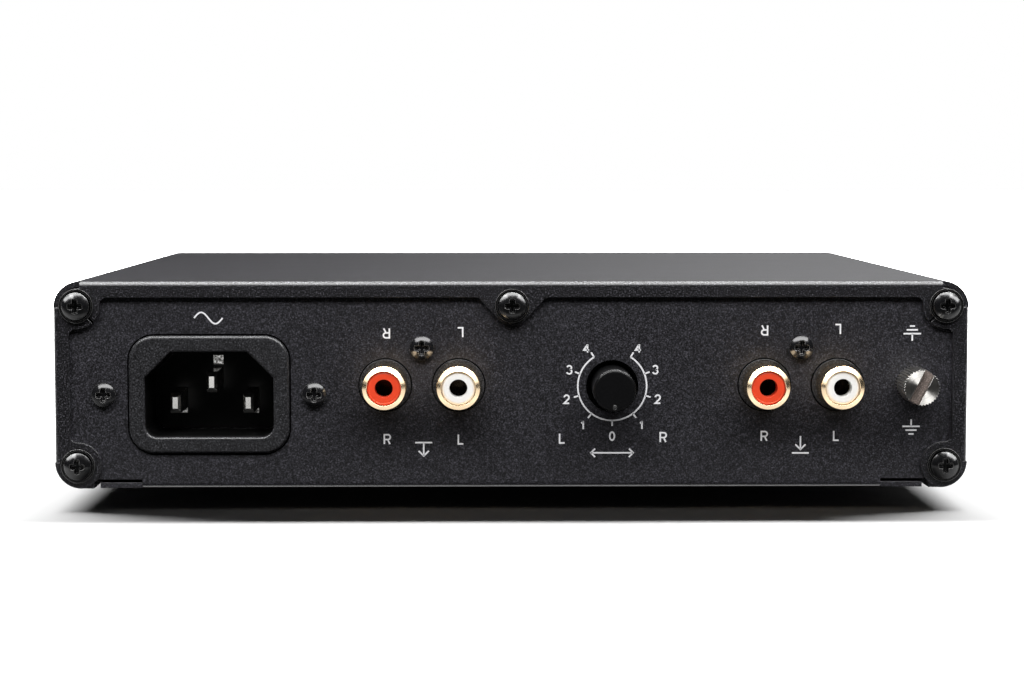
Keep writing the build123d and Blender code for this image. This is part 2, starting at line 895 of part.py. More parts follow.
def socket_contact(x, z):
    """Slotted sleeve that grips the plug's pin."""
    front = socket_tip_y() + contact_inset
    rear = panel_in_y + contact_seat
    sleeve = rod_y(contact_r, x, z, front, rear)
    sleeve -= rod_y(contact_bore_r, x, z, front, panel_in_y + shell_seat)
    half = contact_slot_w / 2
    return sleeve - block(x - half, x + half, front, panel_in_y, z - contact_r, z + contact_r)


def socket_screws():
    screw = pan_screw(small_head_d, small_head_h, socket_screw_l)
    return group([facing_rear(x, panel_y, z) * screw for x, z in socket_screw_places()])


# Balance control

def shaft_section(grow):
    """Round section with a flat."""
    r = shaft_r + grow
    section = Circle(r) - Pos(0, shaft_flat + grow + r) * Rectangle(2 * r, 2 * r)
    return Pos(balance_x, balance_axis_z) * section


def balance_knob():
    face = panel_y - knob_reach
    tail = panel_in_y + knob_tail
    knob = rod_y(knob_r, balance_x, balance_axis_z, face, tail)
    knob = fillet(edges_at_y(knob, face), knob_edge_r)
    knob -= slab(shaft_section(press_gap), face + knob_face_t, tail)
    dot_z = balance_axis_z - knob_dot_offset
    return knob - rod_y(knob_dot_r, balance_x, dot_z, face, face + knob_dot_depth)


def balance_pot_shaft():
    """Shaft with the rotor disc that carries the wipers."""
    front = panel_y - knob_reach + knob_face_t + shaft_end_gap
    flat_end = panel_in_y + knob_tail
    rotor_y = pot_y + pot_wall + rotor_gap
    shaft = slab(shaft_section(0), front, flat_end)
    shaft += rod_y(shaft_r, balance_x, balance_axis_z, flat_end, rotor_y)
    return shaft + rod_y(rotor_r, balance_x, balance_axis_z, rotor_y, rotor_y + rotor_t)


def balance_pot_case():
    half = pot_w / 2
    x = balance_x
    z = balance_axis_z
    case = block(x - half, x + half, pot_y, pot_in_y, board_top, z + half)
    case += rod_y(bush_r, x, z, pot_y - bush_l, pot_y)
    case -= rod_y(shaft_r + run_gap, x, z, pot_y - bush_l, pot_y + pot_wall)
    return case - rod_y(rotor_r + run_gap, x, z, pot_y + pot_wall, pot_in_y)


def balance_pot_cover():
    """Rear cover of the control, with a boss that keeps the rotor in place."""
    half = pot_w / 2
    x = balance_x
    z = balance_axis_z
    plate = block(x - half, x + half, pot_in_y, pot_in_y + pot_cover_t, board_top, z + half)
    boss_y = pot_y + pot_wall + rotor_t + 2 * rotor_gap
    return plate + rod_y(rotor_r - run_gap, x, z, boss_y, pot_in_y)


# Ground terminal

def knurled_outline():
    """Toothed circle of the thumbscrew's head."""
    points = []
    for step in range(2 * knurl_count):
        r = thumb_r - knurl_depth * (step % 2)
        angle = pi * step / knurl_count
        points.append((r * cos(angle), r * sin(angle)))
    return Polygon(*points, align=None)


def ground_thumbscrew():
    x = ground_x
    z = ground_axis_z
    face = panel_y - thumb_gap - thumb_l
    bearing = panel_y - thumb_gap
    end = clip_y + clip_t + 2 * clip_side_gap + thread_tail
    head = slab(Pos(x, z) * knurled_outline(), face, bearing)
    turned = rod_y(thumb_r, x, z, face, bearing)
    head &= chamfer(edges_at_y(turned, face) + edges_at_y(turned, bearing), thumb_chamfer)
    slot = Pos(x, z) * Rot(0, 0, -thumb_slot_tilt) * Rectangle(thumb_slot_w, 3 * thumb_r)
    head -= slab(slot, face, face + thumb_slot_depth)
    thread = rod_y(ground_thread_r, x, z, bearing, end)
    groove_end = clip_y + clip_t + clip_side_gap
    groove = rod_y(ground_thread_r, x, z, clip_y - clip_side_gap, groove_end)
    groove -= rod_y(clip_groove_r, x, z, clip_y - clip_side_gap, groove_end)
    return head + thread - groove


def ground_tag():
    """Solder tag between the rear panel and the nut."""
    hole = Circle(ground_thread_r + ground_hole_gap)
    tail = Pos(-ground_tag_l / 2, 0) * Rectangle(ground_tag_l, ground_tag_w)
    outline = Circle(ground_tag_r) + tail - hole
    return slab(Pos(ground_x, ground_axis_z) * outline, panel_in_y, ground_nut_y)


def ground_nut():
    nut = hex_nut(ground_nut_af, ground_nut_h, ground_thread_r + screw_gap)
    return facing_front(ground_x, ground_nut_y, ground_axis_z) * nut


def ground_clip():
    """Open ring in the thread's groove, which stops the thumbscrew from coming out."""
    ring = Circle(clip_r) - Circle(clip_groove_r + run_gap)
    ring -= Pos(0, -clip_r / 2) * Rectangle(clip_mouth_w, clip_r)
    return slab(Pos(ground_x, ground_axis_z) * ring, clip_y, clip_y + clip_t)


def ground_lead():
    start = (ground_x - ground_tag_l + ground_tag_w / 2, ground_nut_y, ground_axis_z)
    return bent_lead(start, ground_lead_run, board_top, ground_lead_r, ground_lead_bend_r)


# Boards and their components

def drilled_board(left, right, rear, front, holes):
    board = block(left, right, rear, front, board_z, board_top)
    board = fillet(board.edges().filter_by(Axis.Z), board_corner_r)
    for x, y in holes:
        board -= rod_z(screw_d / 2 + pass_gap, x, y, board_z - board_t, board_top + board_t)
    return board


def main_board():
    rear = panel_in_y + board_edge_gap
    return drilled_board(main_left, main_right, rear, main_front, main_hole_places())


def power_supply_board():
    return drilled_board(supply_left, supply_right, supply_rear, supply_front, supply_hole_places())


def board_standoffs():
    hole_r = screw_d / 2 + screw_gap
    pieces = []
    for x, y in main_hole_places() + supply_hole_places():
        tube = rod_z(standoff_r, x, y, floor_z, board_z)
        pieces.append(tube - rod_z(hole_r, x, y, floor_z, board_z))
    for x, z in front_hole_places():
        tube = rod_y(standoff_r, x, z, front_board_y, front_in_y)
        pieces.append(tube - rod_y(hole_r, x, z, front_board_y, front_in_y))
    return group(pieces)


def board_screws():
    screw = pan_screw(pan_head_d, pan_head_h, board_screw_l)
    places = main_hole_places() + supply_hole_places()
    return group([Pos(x, y, board_top) * screw for x, y in places])


def standing_block(place, size):
    """Box that stands on a board."""
    x, y = place
    width, depth, height = size
    return Pos(x, y, board_top + height / 2) * Box(width, depth, height)


def film_capacitors():
    columns = (output_x + output_film_shift, input_x - input_film_shift)
    places = [(x, panel_in_y + row) for x in columns for row in film_capacitor_rows]
    return group([standing_block(place, film_capacitor_size) for place in places])


def amplifier_chips():
    places = [(balance_x + side * chip_pair_pitch / 2, panel_in_y + chip_pair_row) for side in (-1, 1)]
    places.append((balance_x, panel_in_y + chip_row))
    return group([standing_block(place, chip_size) for place in places])


def core_place():
    return supply_left + core_side, supply_rear + core_row


def transformer_core():
    """Closed core with a leg up its middle."""
    x, y = core_place()
    window_w = (core_w - core_leg_w) / 2 - core_yoke_t
    window_h = core_h - 2 * core_yoke_t
    core = standing_block((x, y), (core_w, core_d, core_h))
    for side in (-1, 1):
        window_x = x + side * (core_leg_w + window_w) / 2
        core -= Pos(window_x, y, board_top + core_h / 2) * Box(window_w, core_d, window_h)
    return core


def transformer_winding():
    """Wound bobbin about the core's middle leg."""
    x, y = core_place()
    height = core_h - 2 * core_yoke_t - winding_gap
    hole_w = core_leg_w + 2 * winding_gap
    hole_d = core_d + 2 * winding_gap
    z = board_top + core_yoke_t + height / 2
    bobbin = Pos(x, y, z) * Box(hole_w + 2 * winding_t, hole_d + 2 * winding_t, height)
    return bobbin - Pos(x, y, z) * Box(hole_w, hole_d, height)


def bulk_capacitor():
    x = supply_left + capacitor_side
    y = supply_rear + capacitor_row
    can = rod_z(capacitor_r, x, y, board_top, board_top + capacitor_h)
    return fillet(can.edges().group_by(Axis.Z)[-1], capacitor_edge_r)


def mains_fuse():
    """Glass fuse with square end clips that stand on the board."""
    x = supply_right - fuse_side
    y = supply_rear + fuse_row
    z = board_top + fuse_r
    tube = rod_y(fuse_r, x, z, y - fuse_l / 2, y + fuse_l / 2)
    for side in (-1, 1):
        tube += Pos(x, y + side * (fuse_l / 2 - fuse_r), z) * Box(2 * fuse_r, 2 * fuse_r, 2 * fuse_r)
    return tube


def supply_heatsink():
    """Upright plate with fins on one side."""
    x = supply_right - heatsink_side
    y = supply_rear + heatsink_row
    thickness, depth, height = heatsink_size
    sink = standing_block((x, y), heatsink_size)
    pitch = (depth - heatsink_fin_w) / (heatsink_fin_count - 1)
    for index in range(heatsink_fin_count):
        fin_y = y - depth / 2 + heatsink_fin_w / 2 + index * pitch
        sink += standing_block((x + thickness / 2, fin_y), (thickness, heatsink_fin_w, height))
    return sink


def board_links():
    """Plug-in links from board to board."""
    link_y = main_front - link_front
    bridge = block(
        supply_right - link_overlap, main_left + link_overlap, link_y - link_l / 2,
        link_y + link_l / 2, board_top, board_top + link_h,
    )
    x = front_board_left() + front_board_w / 2
    header = block(
        x - front_link_w / 2, x + front_link_w / 2, main_front - front_link_seat,
        front_board_in_y, board_top, board_top + link_h,
    )
    return group([bridge, header])


def socket_parts():
    """Every phono socket's shell, insulator and contact, by node name."""
    parts = {}
    for pair, pair_x in (("output", output_x), ("input", input_x)):
        for channel, (x, z) in zip(("right", "left"), socket_pair_places(pair_x)):
            parts[f"{pair}_shell_{channel}"] = socket_shell(x, z)
            parts[f"{pair}_insulator_{channel}"] = socket_insulator(x, z)
            parts[f"{pair}_contact_{channel}"] = socket_contact(x, z)
    return parts


def all_parts():
    parts = {
        "top_cover": top_cover(),
        "chassis": chassis(),
        "cover_screws": cover_screws(),
        "cover_screw_washers": cover_screw_washers(),
        "foot_screws": foot_screws(),
        "front_panel": front_panel(),
        "front_panel_screws": front_panel_screws(),
        "power_button": power_button(),
        "power_switch_body": power_switch_body(),
        "power_switch_plunger": power_switch_plunger(),
        "front_board": front_board(),
        "front_board_screws": front_board_screws(),
        "light_pipe": light_pipe(),
        "inlet_body": inlet_body(),
        "inlet_screws": inlet_screws(),
        "inlet_nuts": inlet_nuts(),
        "mains_leads": mains_leads(),
        "output_socket_body": socket_body(output_x),
        "input_socket_body": socket_body(input_x),
        "socket_screws": socket_screws(),
        "balance_knob": balance_knob(),
        "balance_pot_shaft": balance_pot_shaft(),
        "balance_pot_case": balance_pot_case(),
        "balance_pot_cover": balance_pot_cover(),
        "ground_thumbscrew": ground_thumbscrew(),
        "ground_tag": ground_tag(),
        "ground_nut": ground_nut(),
        "ground_clip": ground_clip(),
        "ground_lead": ground_lead(),
        "main_board": main_board(),
        "power_supply_board": power_supply_board(),
        "board_standoffs": board_standoffs(),
        "board_screws": board_screws(),
        "board_links": board_links(),
        "film_capacitors": film_capacitors(),
        "amplifier_chips": amplifier_chips(),
        "transformer_core": transformer_core(),
        "transformer_winding": transformer_winding(),
        "bulk_capacitor": bulk_capacitor(),
        "mains_fuse": mains_fuse(),
        "supply_heatsink": supply_heatsink(),
    }
    for name, (x, y) in foot_places().items():
        parts[name] = foot(x, y)
    for name, (x, z) in pin_places().items():
        parts[name] = inlet_pin(x, z)
    parts.update(socket_parts())
    return parts


os.makedirs("parts", exist_ok=True)
for name, piece in all_parts().items():
    export_step(piece, f"parts/{name}.step")
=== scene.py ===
import json
from math import cos, hypot, pi, radians, sin

import bmesh
import bpy
from bpy.props import FloatProperty, FloatVectorProperty, PointerProperty
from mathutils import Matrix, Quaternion, Vector

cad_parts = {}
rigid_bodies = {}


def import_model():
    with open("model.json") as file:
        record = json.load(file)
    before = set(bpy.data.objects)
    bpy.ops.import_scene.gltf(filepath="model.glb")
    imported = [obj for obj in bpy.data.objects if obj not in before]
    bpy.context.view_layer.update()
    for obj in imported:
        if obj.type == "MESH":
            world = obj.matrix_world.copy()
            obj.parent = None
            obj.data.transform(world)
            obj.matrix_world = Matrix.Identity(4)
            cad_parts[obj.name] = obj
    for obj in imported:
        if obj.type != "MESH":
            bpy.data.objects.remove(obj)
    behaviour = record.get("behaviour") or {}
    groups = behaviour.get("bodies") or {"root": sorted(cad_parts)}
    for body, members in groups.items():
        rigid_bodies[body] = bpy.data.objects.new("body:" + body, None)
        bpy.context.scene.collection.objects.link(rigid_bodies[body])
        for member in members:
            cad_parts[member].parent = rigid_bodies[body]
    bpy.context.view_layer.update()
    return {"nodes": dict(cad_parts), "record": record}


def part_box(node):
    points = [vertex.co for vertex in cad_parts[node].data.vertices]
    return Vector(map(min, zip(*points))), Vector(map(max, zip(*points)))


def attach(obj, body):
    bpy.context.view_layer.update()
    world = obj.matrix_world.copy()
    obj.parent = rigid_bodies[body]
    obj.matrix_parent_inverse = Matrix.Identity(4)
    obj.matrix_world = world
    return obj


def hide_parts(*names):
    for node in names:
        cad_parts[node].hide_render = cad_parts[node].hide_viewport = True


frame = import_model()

bl_info = {
    "name": "Phono Preamp",
    "version": (1, 0, 0),
    "blender": (4, 5, 0),
    "location": "3D View > Sidebar > Phono Preamp",
    "description": "Finishes, printed marks and stage for a phono preamp",
    "category": "Object",
}

# Lengths are in metres. X runs to the right as seen from the rear, Y to the front, Z up.
MM = 0.001


def middle_of(node):
    """Middle of a CAD node's box."""
    low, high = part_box(node)
    return (low + high) / 2


PANEL_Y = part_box("chassis")[0].y
DIAL_CENTRE = middle_of("balance_pot_shaft")
GROUND_CENTRE = middle_of("ground_nut")


# Settings

def length(label, value, about):
    """Length in millimetres as a property in metres."""
    return FloatProperty(
        name=label, description=about, default=value * MM, min=0.0, unit="LENGTH", precision=5,
    )


def share(label, value, about, highest=1.0):
    return FloatProperty(name=label, description=about, default=value, min=0.0, max=highest)


def power(label, value, about):
    return FloatProperty(name=label, description=about, default=value, min=0.0, unit="POWER")


def colour(label, value, about):
    return FloatVectorProperty(
        name=label, description=about, default=value, size=3, min=0.0, max=1.0, subtype="COLOR",
    )


class CoatSettings(bpy.types.PropertyGroup):
    """Powder coat of the cover and the chassis."""

    cover_colour: colour("Cover colour", (0.0125, 0.0122, 0.0140), "Coat of the top cover")
    panel_colour: colour("Panel colour", (0.0205, 0.0200, 0.0238), "Coat of the chassis")
    worn_colour: colour("Edge colour", (0.045, 0.045, 0.048), "Coat where it thins along an edge")
    grain: length("Grain size", 0.27, "Width of one grain of the coat's texture")
    cover_contrast: share("Cover contrast", 6.0, "How much the cover's grains differ", 10.0)
    panel_contrast: share("Panel contrast", 2.4, "How much the panel's grains differ", 10.0)
    cover_relief: length("Cover relief", 0.024, "Height of the cover's grains")
    panel_relief: length("Panel relief", 0.012, "Height of the panel's grains")
    edge: length("Edge radius", 0.16, "Rounding of the coated edges")
    cover_roughness: share("Cover roughness", 0.295, "Roughness of the cover's coat")
    panel_roughness: share("Panel roughness", 0.38, "Roughness of the chassis' coat")


class FastenerSettings(bpy.types.PropertyGroup):
    """Screws, washers and plain metal parts."""

    black_colour: colour("Black screws", (0.008, 0.008, 0.009), "Black plated screws and washers")
    # The screws' edge colour is partly worn black plating and partly painted glints along their
    # edges.
    worn_colour: colour("Worn edges", (0.26, 0.255, 0.25), "Black plating where it is worn")
    steel_colour: colour("Steel", (0.56, 0.56, 0.55), "Zinc plated steel")
    edge: length("Edge radius", 0.26, "Rounding of the fasteners' edges")


class InletSettings(bpy.types.PropertyGroup):
    """Mains inlet."""

    moulding_colour: colour("Moulding", (0.0150, 0.0150, 0.0165), "Bodies of inlet and sockets")
    # The recess colour is a painted shade inside the inlet's recess, not the moulding's own
    # colour.
    recess_colour: colour("Recess", (0.001, 0.001, 0.0011), "Smooth moulding inside the recess")
    pin_colour: colour("Pins", (0.83, 0.82, 0.79), "Nickel plate of the pins")
    shoulder_w: length("Shoulder width", 1.95, "Width of a contact's shoulder")
    earth_shoulder_h: length("Earth shoulder", 1.75, "Height of the earth contact's shoulder")
    side_shoulder_h: length("Side shoulders", 1.45, "Height of the other two shoulders")
    shoulder_t: length("Shoulder thickness", 0.4, "How far the shoulders stand off the floor")


class SocketSettings(bpy.types.PropertyGroup):
    """Phono sockets."""

    gold_colour: colour("Gold", (0.90, 0.70, 0.46), "Gold plate of the shells")
    # The contact gold lies far below the shells' gold: a painted shade inside the sockets.
    contact_colour: colour("Contact gold", (0.10, 0.075, 0.05), "Dull gold inside the sockets")
    wall: length("Shell wall", 0.95, "Wall of a shell at its mouth")
    inner_edge: length("Inner edge", 0.1, "Cut of the edge between a shell's mouth and bore")
    mouth_slope: length("Mouth slope", 0.46, "How far a shell's mouth slopes back to its side")
    tail_step: length("Tail step", 0.25, "How much smaller in radius a shell is inside its body")
    sleeve_l: length("Sleeve length", 6.9, "Length of a shell in front of its body")
    right_colour: colour("Right channel", (0.74, 0.062, 0.022), "Right channel's insulators")
    left_colour: colour("Left channel", (0.84, 0.83, 0.80), "Left channel's insulators")


class ControlSettings(bpy.types.PropertyGroup):
    """Balance knob, ground terminal and front controls."""

    knob_colour: colour("Knob", (0.0032, 0.0032, 0.0036), "Satin black of the balance knob")
    dot_colour: colour("Pointer dot", (0.045, 0.045, 0.045), "Paint in the knob's pointer dot")
    terminal_colour: colour("Ground terminal", (0.78, 0.76, 0.72), "Plate of the thumbscrew")
    tarnish_colour: colour("Tarnish", (0.150, 0.120, 0.107), "Floor of the thumbscrew's slot")
    thumb_gap: length("Thumbscrew gap", 0.1, "Between the thumbscrew's head and the rear panel")
    tooth_depth: length("Tooth depth", 0.26, "Depth of the knurl's teeth")
    thumb_slot_w: length("Slot width", 2.0, "Width of the thumbscrew's slot")
    thumb_slot_depth: length("Slot depth", 1.8, "Depth of the thumbscrew's slot")
    thumb_slot_tilt: FloatProperty(
        name="Slot tilt", description="Lean of the slot to the right of upright",
        default=radians(27.0), subtype="ANGLE", unit="ROTATION",
    )
    thread_r: length("Thread radius", 2.0, "Radius of the thumbscrew's thread")
    groove_r: length("Groove radius", 1.5, "Radius of the thumbscrew inside its clip")
    front_colour: colour("Front panel", (0.016, 0.016, 0.017), "Anodised front panel")
    button_colour: colour("Power button", (0.30, 0.30, 0.31), "Anodised power button")
    light_colour: colour("Light pipe", (0.86, 0.90, 0.95), "Clear rod of the power light")


class FootSettings(bpy.types.PropertyGroup):
    """Feet."""

    rubber_colour: colour("Rubber", (0.018, 0.018, 0.018), "Moulded rubber of the feet")


class InteriorSettings(bpy.types.PropertyGroup):
    """Boards and the parts on them."""

    board_colour: colour("Board", (0.012, 0.055, 0.022), "Solder mask of the boards")
    black_colour: colour("Black parts", (0.020, 0.020, 0.021), "Moulded electronic parts")
    film_colour: colour("Film capacitors", (0.66, 0.42, 0.06), "Cases of the film capacitors")
    ferrite_colour: colour("Ferrite", (0.045, 0.043, 0.042), "Transformer core")
    tape_colour: colour("Winding tape", (0.62, 0.45, 0.08), "Tape about the winding")
    wire_colour: colour("Wire insulation", (0.10, 0.32, 0.07), "Insulation of the leads")
    heatsink_colour: colour("Heatsink", (0.50, 0.50, 0.51), "Extruded heatsink")
    fuse_colour: colour("Fuse", (0.78, 0.80, 0.79), "Tube of the fuse")


class MarkSettings(bpy.types.PropertyGroup):
    """Marks printed on the rear panel."""

    ink_colour: colour("Ink", (0.74, 0.74, 0.76), "Printing ink")
    ink_height: length("Ink height", 0.03, "Thickness of the printed ink")
    line_w: length("Line width", 0.30, "Width of the printed lines")
    dial_r: length("Dial radius", 6.58, "Radius of the balance scale")
    tick_l: length("Tick length", 1.05, "Length of the scale's ticks")
    digit_h: length("Digit height", 1.85, "Height of the scale's digits")
    letter_h: length("Letter height", 2.1, "Height of the channel letters")
    sign_w: length("Sign width", 5.4, "Width of the plain signs")


class StageSettings(bpy.types.PropertyGroup):
    """Floor, lamps, surroundings and camera."""

    camera_place: FloatVectorProperty(
        name="Camera place", description="Where the camera stands",
        default=(-0.00593, -0.5064, 0.06492), size=3, subtype="TRANSLATION", unit="LENGTH",
    )
    camera_turn: FloatVectorProperty(
        name="Camera turn", description="Angles of the camera",
        default=(radians(85.685), 0.0, radians(-0.774)), size=3, subtype="EULER", unit="ROTATION",
    )
    lens: FloatProperty(
        name="Lens", description="Focal length in millimetres", default=80.81, min=1.0,
        unit="CAMERA",
    )
    floor_colour: colour("Floor colour", (0.205, 0.205, 0.205), "Plain pale floor")
    front_floor: colour("Front floor", (0.0075, 0.0075, 0.0075), "Floor before the rear panel")
    near_view: share("Near floor", 0.3, "How light the floor looks beside the object", 4.0)
    far_view: share("Far floor", 14.0, "How light the floor looks far away", 20.0)
    strip_lamp: power("Strip lamp", 15.0, "Power of the long overhead lamp")
    soft_lamp: power("Soft lamp", 12.0, "Power of the wide lamp above the camera")
    floor_lamp: power("Floor lamp", 45.0, "Power of the overhead lamp for the floor")
    under_lamp: power("Under lamp", 1.6, "Power of the lamp for the underside")
    edge_card: power("Edge card", 14.5, "Power of the card above the cover's rear edge")
    high_card: power("High card", 4.8, "Power of the card above the sockets")
    terminal_card: power("Terminal card", 1.5, "Power of the card above the ground terminal")
    low_card: power("Low card", 0.24, "Power of the card below the sockets")
    pin_card: power("Pin card", 0.02, "Power of the card before the inlet's pins")
    screw_card: power("Screw card", 4.2, "Power of the card above the cover's screws")
    left_card: power("Left card", 1.5, "Power of the card left of the cover's screws")
    right_card: power("Right card", 1.5, "Power of the card right of the cover's screws")
    front_level: share("Front level", 0.01, "Surroundings on the rear panel's side")
    back_left: share("Back left", 0.02, "Surroundings near the ground behind, to the left")
    back_right: share("Back right", 0.41, "Surroundings near the ground behind, to the right")
    high_left: share("High left", 0.10, "Surroundings above, to the left", 2.0)
    high_right: share("High right", 0.25, "Surroundings above, to the right", 2.0)


# Node building

def put(tree, socket, value):
    """Sets a socket's own value or joins another socket to it."""
    if isinstance(value, bpy.types.NodeSocket):
        tree.links.new(value, socket)
    elif isinstance(value, (int, float)):
        socket.default_value = value
    else:
        size = len(socket.default_value)
        value = tuple(value)
        socket.default_value = value + (1.0,) * (size - len(value))


def put_all(tree, node, values):
    """Fills a node's inputs. Spaces in their names are written as underscores."""
    for name, value in values.items():
        put(tree, node.inputs[name.replace("_", " ")], value)


def add(tree, kind, settings=None, **values):
    """Adds a node with its settings and inputs."""
    node = tree.nodes.new("ShaderNode" + kind)
    for name, value in (settings or {}).items():
        setattr(node, name, value)
    put_all(tree, node, values)
    return node


def figure(tree, operation, *values, kind="Math"):
    """Math or Vector Math node's outputs, and the first of them for plain figures."""
    node = add(tree, kind, {"operation": operation})
    for socket, value in zip(node.inputs, values):
        put(tree, socket, value)
    return node.outputs[0] if kind == "Math" else node.outputs


def scaled(tree, tone, scale):
    """Colour made darker or lighter."""
    return add(tree, "VectorMath", {"operation": "SCALE"}, Vector=tone, Scale=scale).outputs[0]


def blend_colour(tree, amount, first, second):
    """Result of mixing two colours."""
    node = add(tree, "Mix", {"data_type": "RGBA", "clamp_factor": True})
    for index, value in ((0, amount), (6, first), (7, second)):
        put(tree, node.inputs[index], value)
    return node.outputs[2]


def ramp(tree, value, low, high, to_low=0.0, to_high=1.0):
    """Value carried smoothly from one range to another."""
    return add(
        tree, "MapRange", {"interpolation_type": "SMOOTHSTEP"}, Value=value,
        From_Min=low, From_Max=high, To_Min=to_low, To_Max=to_high,
    ).outputs[0]


def noise(tree, place, size, detail=2.0, roughness=0.55):
    """Noise with features of about the given size in metres."""
    scale = 1 / size if isinstance(size, float) else figure(tree, "DIVIDE", 1.0, size)
    node = add(tree, "TexNoise", Vector=place, Scale=scale, Detail=detail, Roughness=roughness)
    return node.outputs[0]


def object_place(tree):
    return add(tree, "TexCoord").outputs["Object"]


def axes_of(tree, vector):
    return add(tree, "SeparateXYZ", Vector=vector).outputs


# Shader groups, each made once

GREY = (0.5, 0.5, 0.5, 1.0)
OUTPUT_KINDS = {"Colour": "Color", "Roughness": "Float", "Height": "Float", "Normal": "Vector"}


def shared(name, fill, outputs, **inputs):
    """Node group made once, with its outputs' names and its inputs' defaults."""
    group = bpy.data.node_groups.get(name)
    if group is None:
        group = bpy.data.node_groups.new(name, "ShaderNodeTree")
        face = group.interface
        for label, value in inputs.items():
            kind = "Float" if isinstance(value, float) else ("Vector", "Color")[len(value) - 3]
            label = label.replace("_", " ")
            socket = face.new_socket(label, in_out="INPUT", socket_type="NodeSocket" + kind)
            socket.default_value = value
        for label in outputs:
            kind = OUTPUT_KINDS[label]
            face.new_socket(label, in_out="OUTPUT", socket_type="NodeSocket" + kind)
        entry = group.nodes.new("NodeGroupInput").outputs
        put_all(group, group.nodes.new("NodeGroupOutput"), fill(group, entry))
    return group


# Middle and top of the grain's noise, its darkest tone, and the slow drift's size and reach
GRAIN_MIDDLE, GRAIN_TOP, GRAIN_DARKEST = 0.54, 0.80, 0.15
DRIFT_SIZE, DRIFT_TONES, DRIFT_ROUGHNESS = 11 * MM, (0.96, 1.04), 0.03


def grain_group():
    """Fine grain of a powder coat or of a textured mould, with a slow drift across it."""

    def fill(tree, entry):
        place = object_place(tree)
        fine = noise(tree, place, entry["Grain"])
        slow = noise(tree, place, DRIFT_SIZE, 3.0)
        speck = ramp(tree, fine, GRAIN_MIDDLE, GRAIN_TOP)
        even = figure(tree, "MULTIPLY_ADD", fine, 2.0, -2.0 * GRAIN_MIDDLE)
        both = figure(tree, "ADD", even, speck)
        tone = figure(tree, "MULTIPLY_ADD", both, entry["Contrast"], 1.0)
        tone = figure(tree, "MULTIPLY", tone, ramp(tree, slow, 0.3, 0.7, *DRIFT_TONES))
        tone = figure(tree, "MAXIMUM", tone, GRAIN_DARKEST)
        drift = figure(tree, "SUBTRACT", slow, 0.5)
        return {
            "Colour": scaled(tree, entry["Colour"], tone),
            "Roughness": figure(tree, "MULTIPLY_ADD", drift, DRIFT_ROUGHNESS, entry["Roughness"]),
            "Height": fine,
        }

    return shared(
        "Fine Grain", fill, ("Colour", "Roughness", "Height"),
        Colour=GREY, Grain=0.3 * MM, Contrast=0.3, Roughness=0.5,
    )


def edge_group():
    """Rounding along edges, and an edge colour on them: wear, and on the black screws also
    painted glints.
    """

    def fill(tree, entry):
        rounded = add(tree, "Bevel", {"samples": 6}, Radius=entry["Radius"]).outputs[0]
        flat = add(tree, "NewGeometry").outputs["Normal"]
        match = figure(tree, "DOT_PRODUCT", rounded, flat, kind="VectorMath")["Value"]
        turn = figure(tree, "SUBTRACT", 1.0, match)
        patch = noise(tree, object_place(tree), 2.1 * MM, 4.0, 0.65)
        mask = ramp(tree, figure(tree, "MULTIPLY", turn, patch), 0.01, 0.12)
        mask = figure(tree, "MULTIPLY", mask, entry["Wear"])
        edge_tone = blend_colour(tree, mask, entry["Colour"], entry["Edge Colour"])
        return {"Colour": edge_tone, "Normal": rounded}

    return shared(
        "Edge Wear", fill, ("Colour", "Normal"),
        Colour=GREY, Edge_Colour=(0.6, 0.6, 0.6, 1.0), Radius=0.2 * MM, Wear=0.5,
    )


def dust_group():
    """Light dust that lies on faces that look up."""

    def fill(tree, entry):
        upright = axes_of(tree, add(tree, "NewGeometry").outputs["Normal"])["Z"]
        facing = ramp(tree, upright, 0.35, 0.95)
        cloud = ramp(tree, noise(tree, object_place(tree), 18 * MM, 5.0, 0.6), 0.4, 0.75)
        speck = ramp(tree, noise(tree, object_place(tree), 0.5 * MM, 1.0), 0.45, 0.7)
        cloud = figure(tree, "MULTIPLY", cloud, speck)
        mask = figure(tree, "MULTIPLY", figure(tree, "MULTIPLY", facing, cloud), entry["Amount"])
        return {"Colour": blend_colour(tree, mask, entry["Colour"], entry["Dust Colour"])}

    return shared(
        "Dust", fill, ("Colour",),
        Colour=GREY, Dust_Colour=(0.3, 0.29, 0.27, 1.0), Amount=0.05,
    )


def turned_group():
    """Rings that a cutting tool leaves about an axis along Y."""

    def fill(tree, entry):
        place = figure(
            tree, "SUBTRACT", object_place(tree), entry["Centre"], kind="VectorMath",
        )[0]
        x, y, z = (axes_of(tree, place)[axis] for axis in "XYZ")
        square = figure(tree, "MULTIPLY_ADD", x, x, figure(tree, "MULTIPLY", z, z))
        reach = figure(tree, "SQRT", square)
        along = add(tree, "CombineXYZ", X=reach, Y=figure(tree, "MULTIPLY", y, 0.25))
        rings = noise(tree, along.outputs[0], entry["Pitch"], 3.0, 0.7)
        smudge = figure(tree, "SUBTRACT", noise(tree, place, 1.6 * MM, 3.0), 0.5)
        return {
            "Colour": scaled(tree, entry["Colour"], ramp(tree, rings, 0.3, 0.7, 0.88, 1.06)),
            "Roughness": figure(tree, "MULTIPLY_ADD", smudge, 0.2, entry["Roughness"]),
            "Height": rings,
        }

    return shared(
        "Turned Rings", fill, ("Colour", "Roughness", "Height"),
        Colour=GREY, Centre=(0.0, 0.0, 0.0), Pitch=0.1 * MM, Roughness=0.2,
    )


def weave_group():
    """Glass cloth that shows through a board's solder mask."""

    def fill(tree, entry):
        place = axes_of(tree, object_place(tree))
        cloth = 0.0
        for axis in "XYZ":
            turns = figure(tree, "DIVIDE", place[axis], entry["Thread"])
            thread = figure(tree, "SINE", figure(tree, "MULTIPLY", turns, 2 * pi))
            cloth = figure(tree, "ADD", thread, cloth)
        cloth = ramp(tree, cloth, -2.0, 2.0)
        tone = ramp(tree, cloth, 0.0, 1.0, 0.75, 1.25)
        return {"Colour": scaled(tree, entry["Colour"], tone), "Height": cloth}

    return shared("Glass Cloth", fill, ("Colour", "Height"), Colour=GREY, Thread=0.6 * MM)


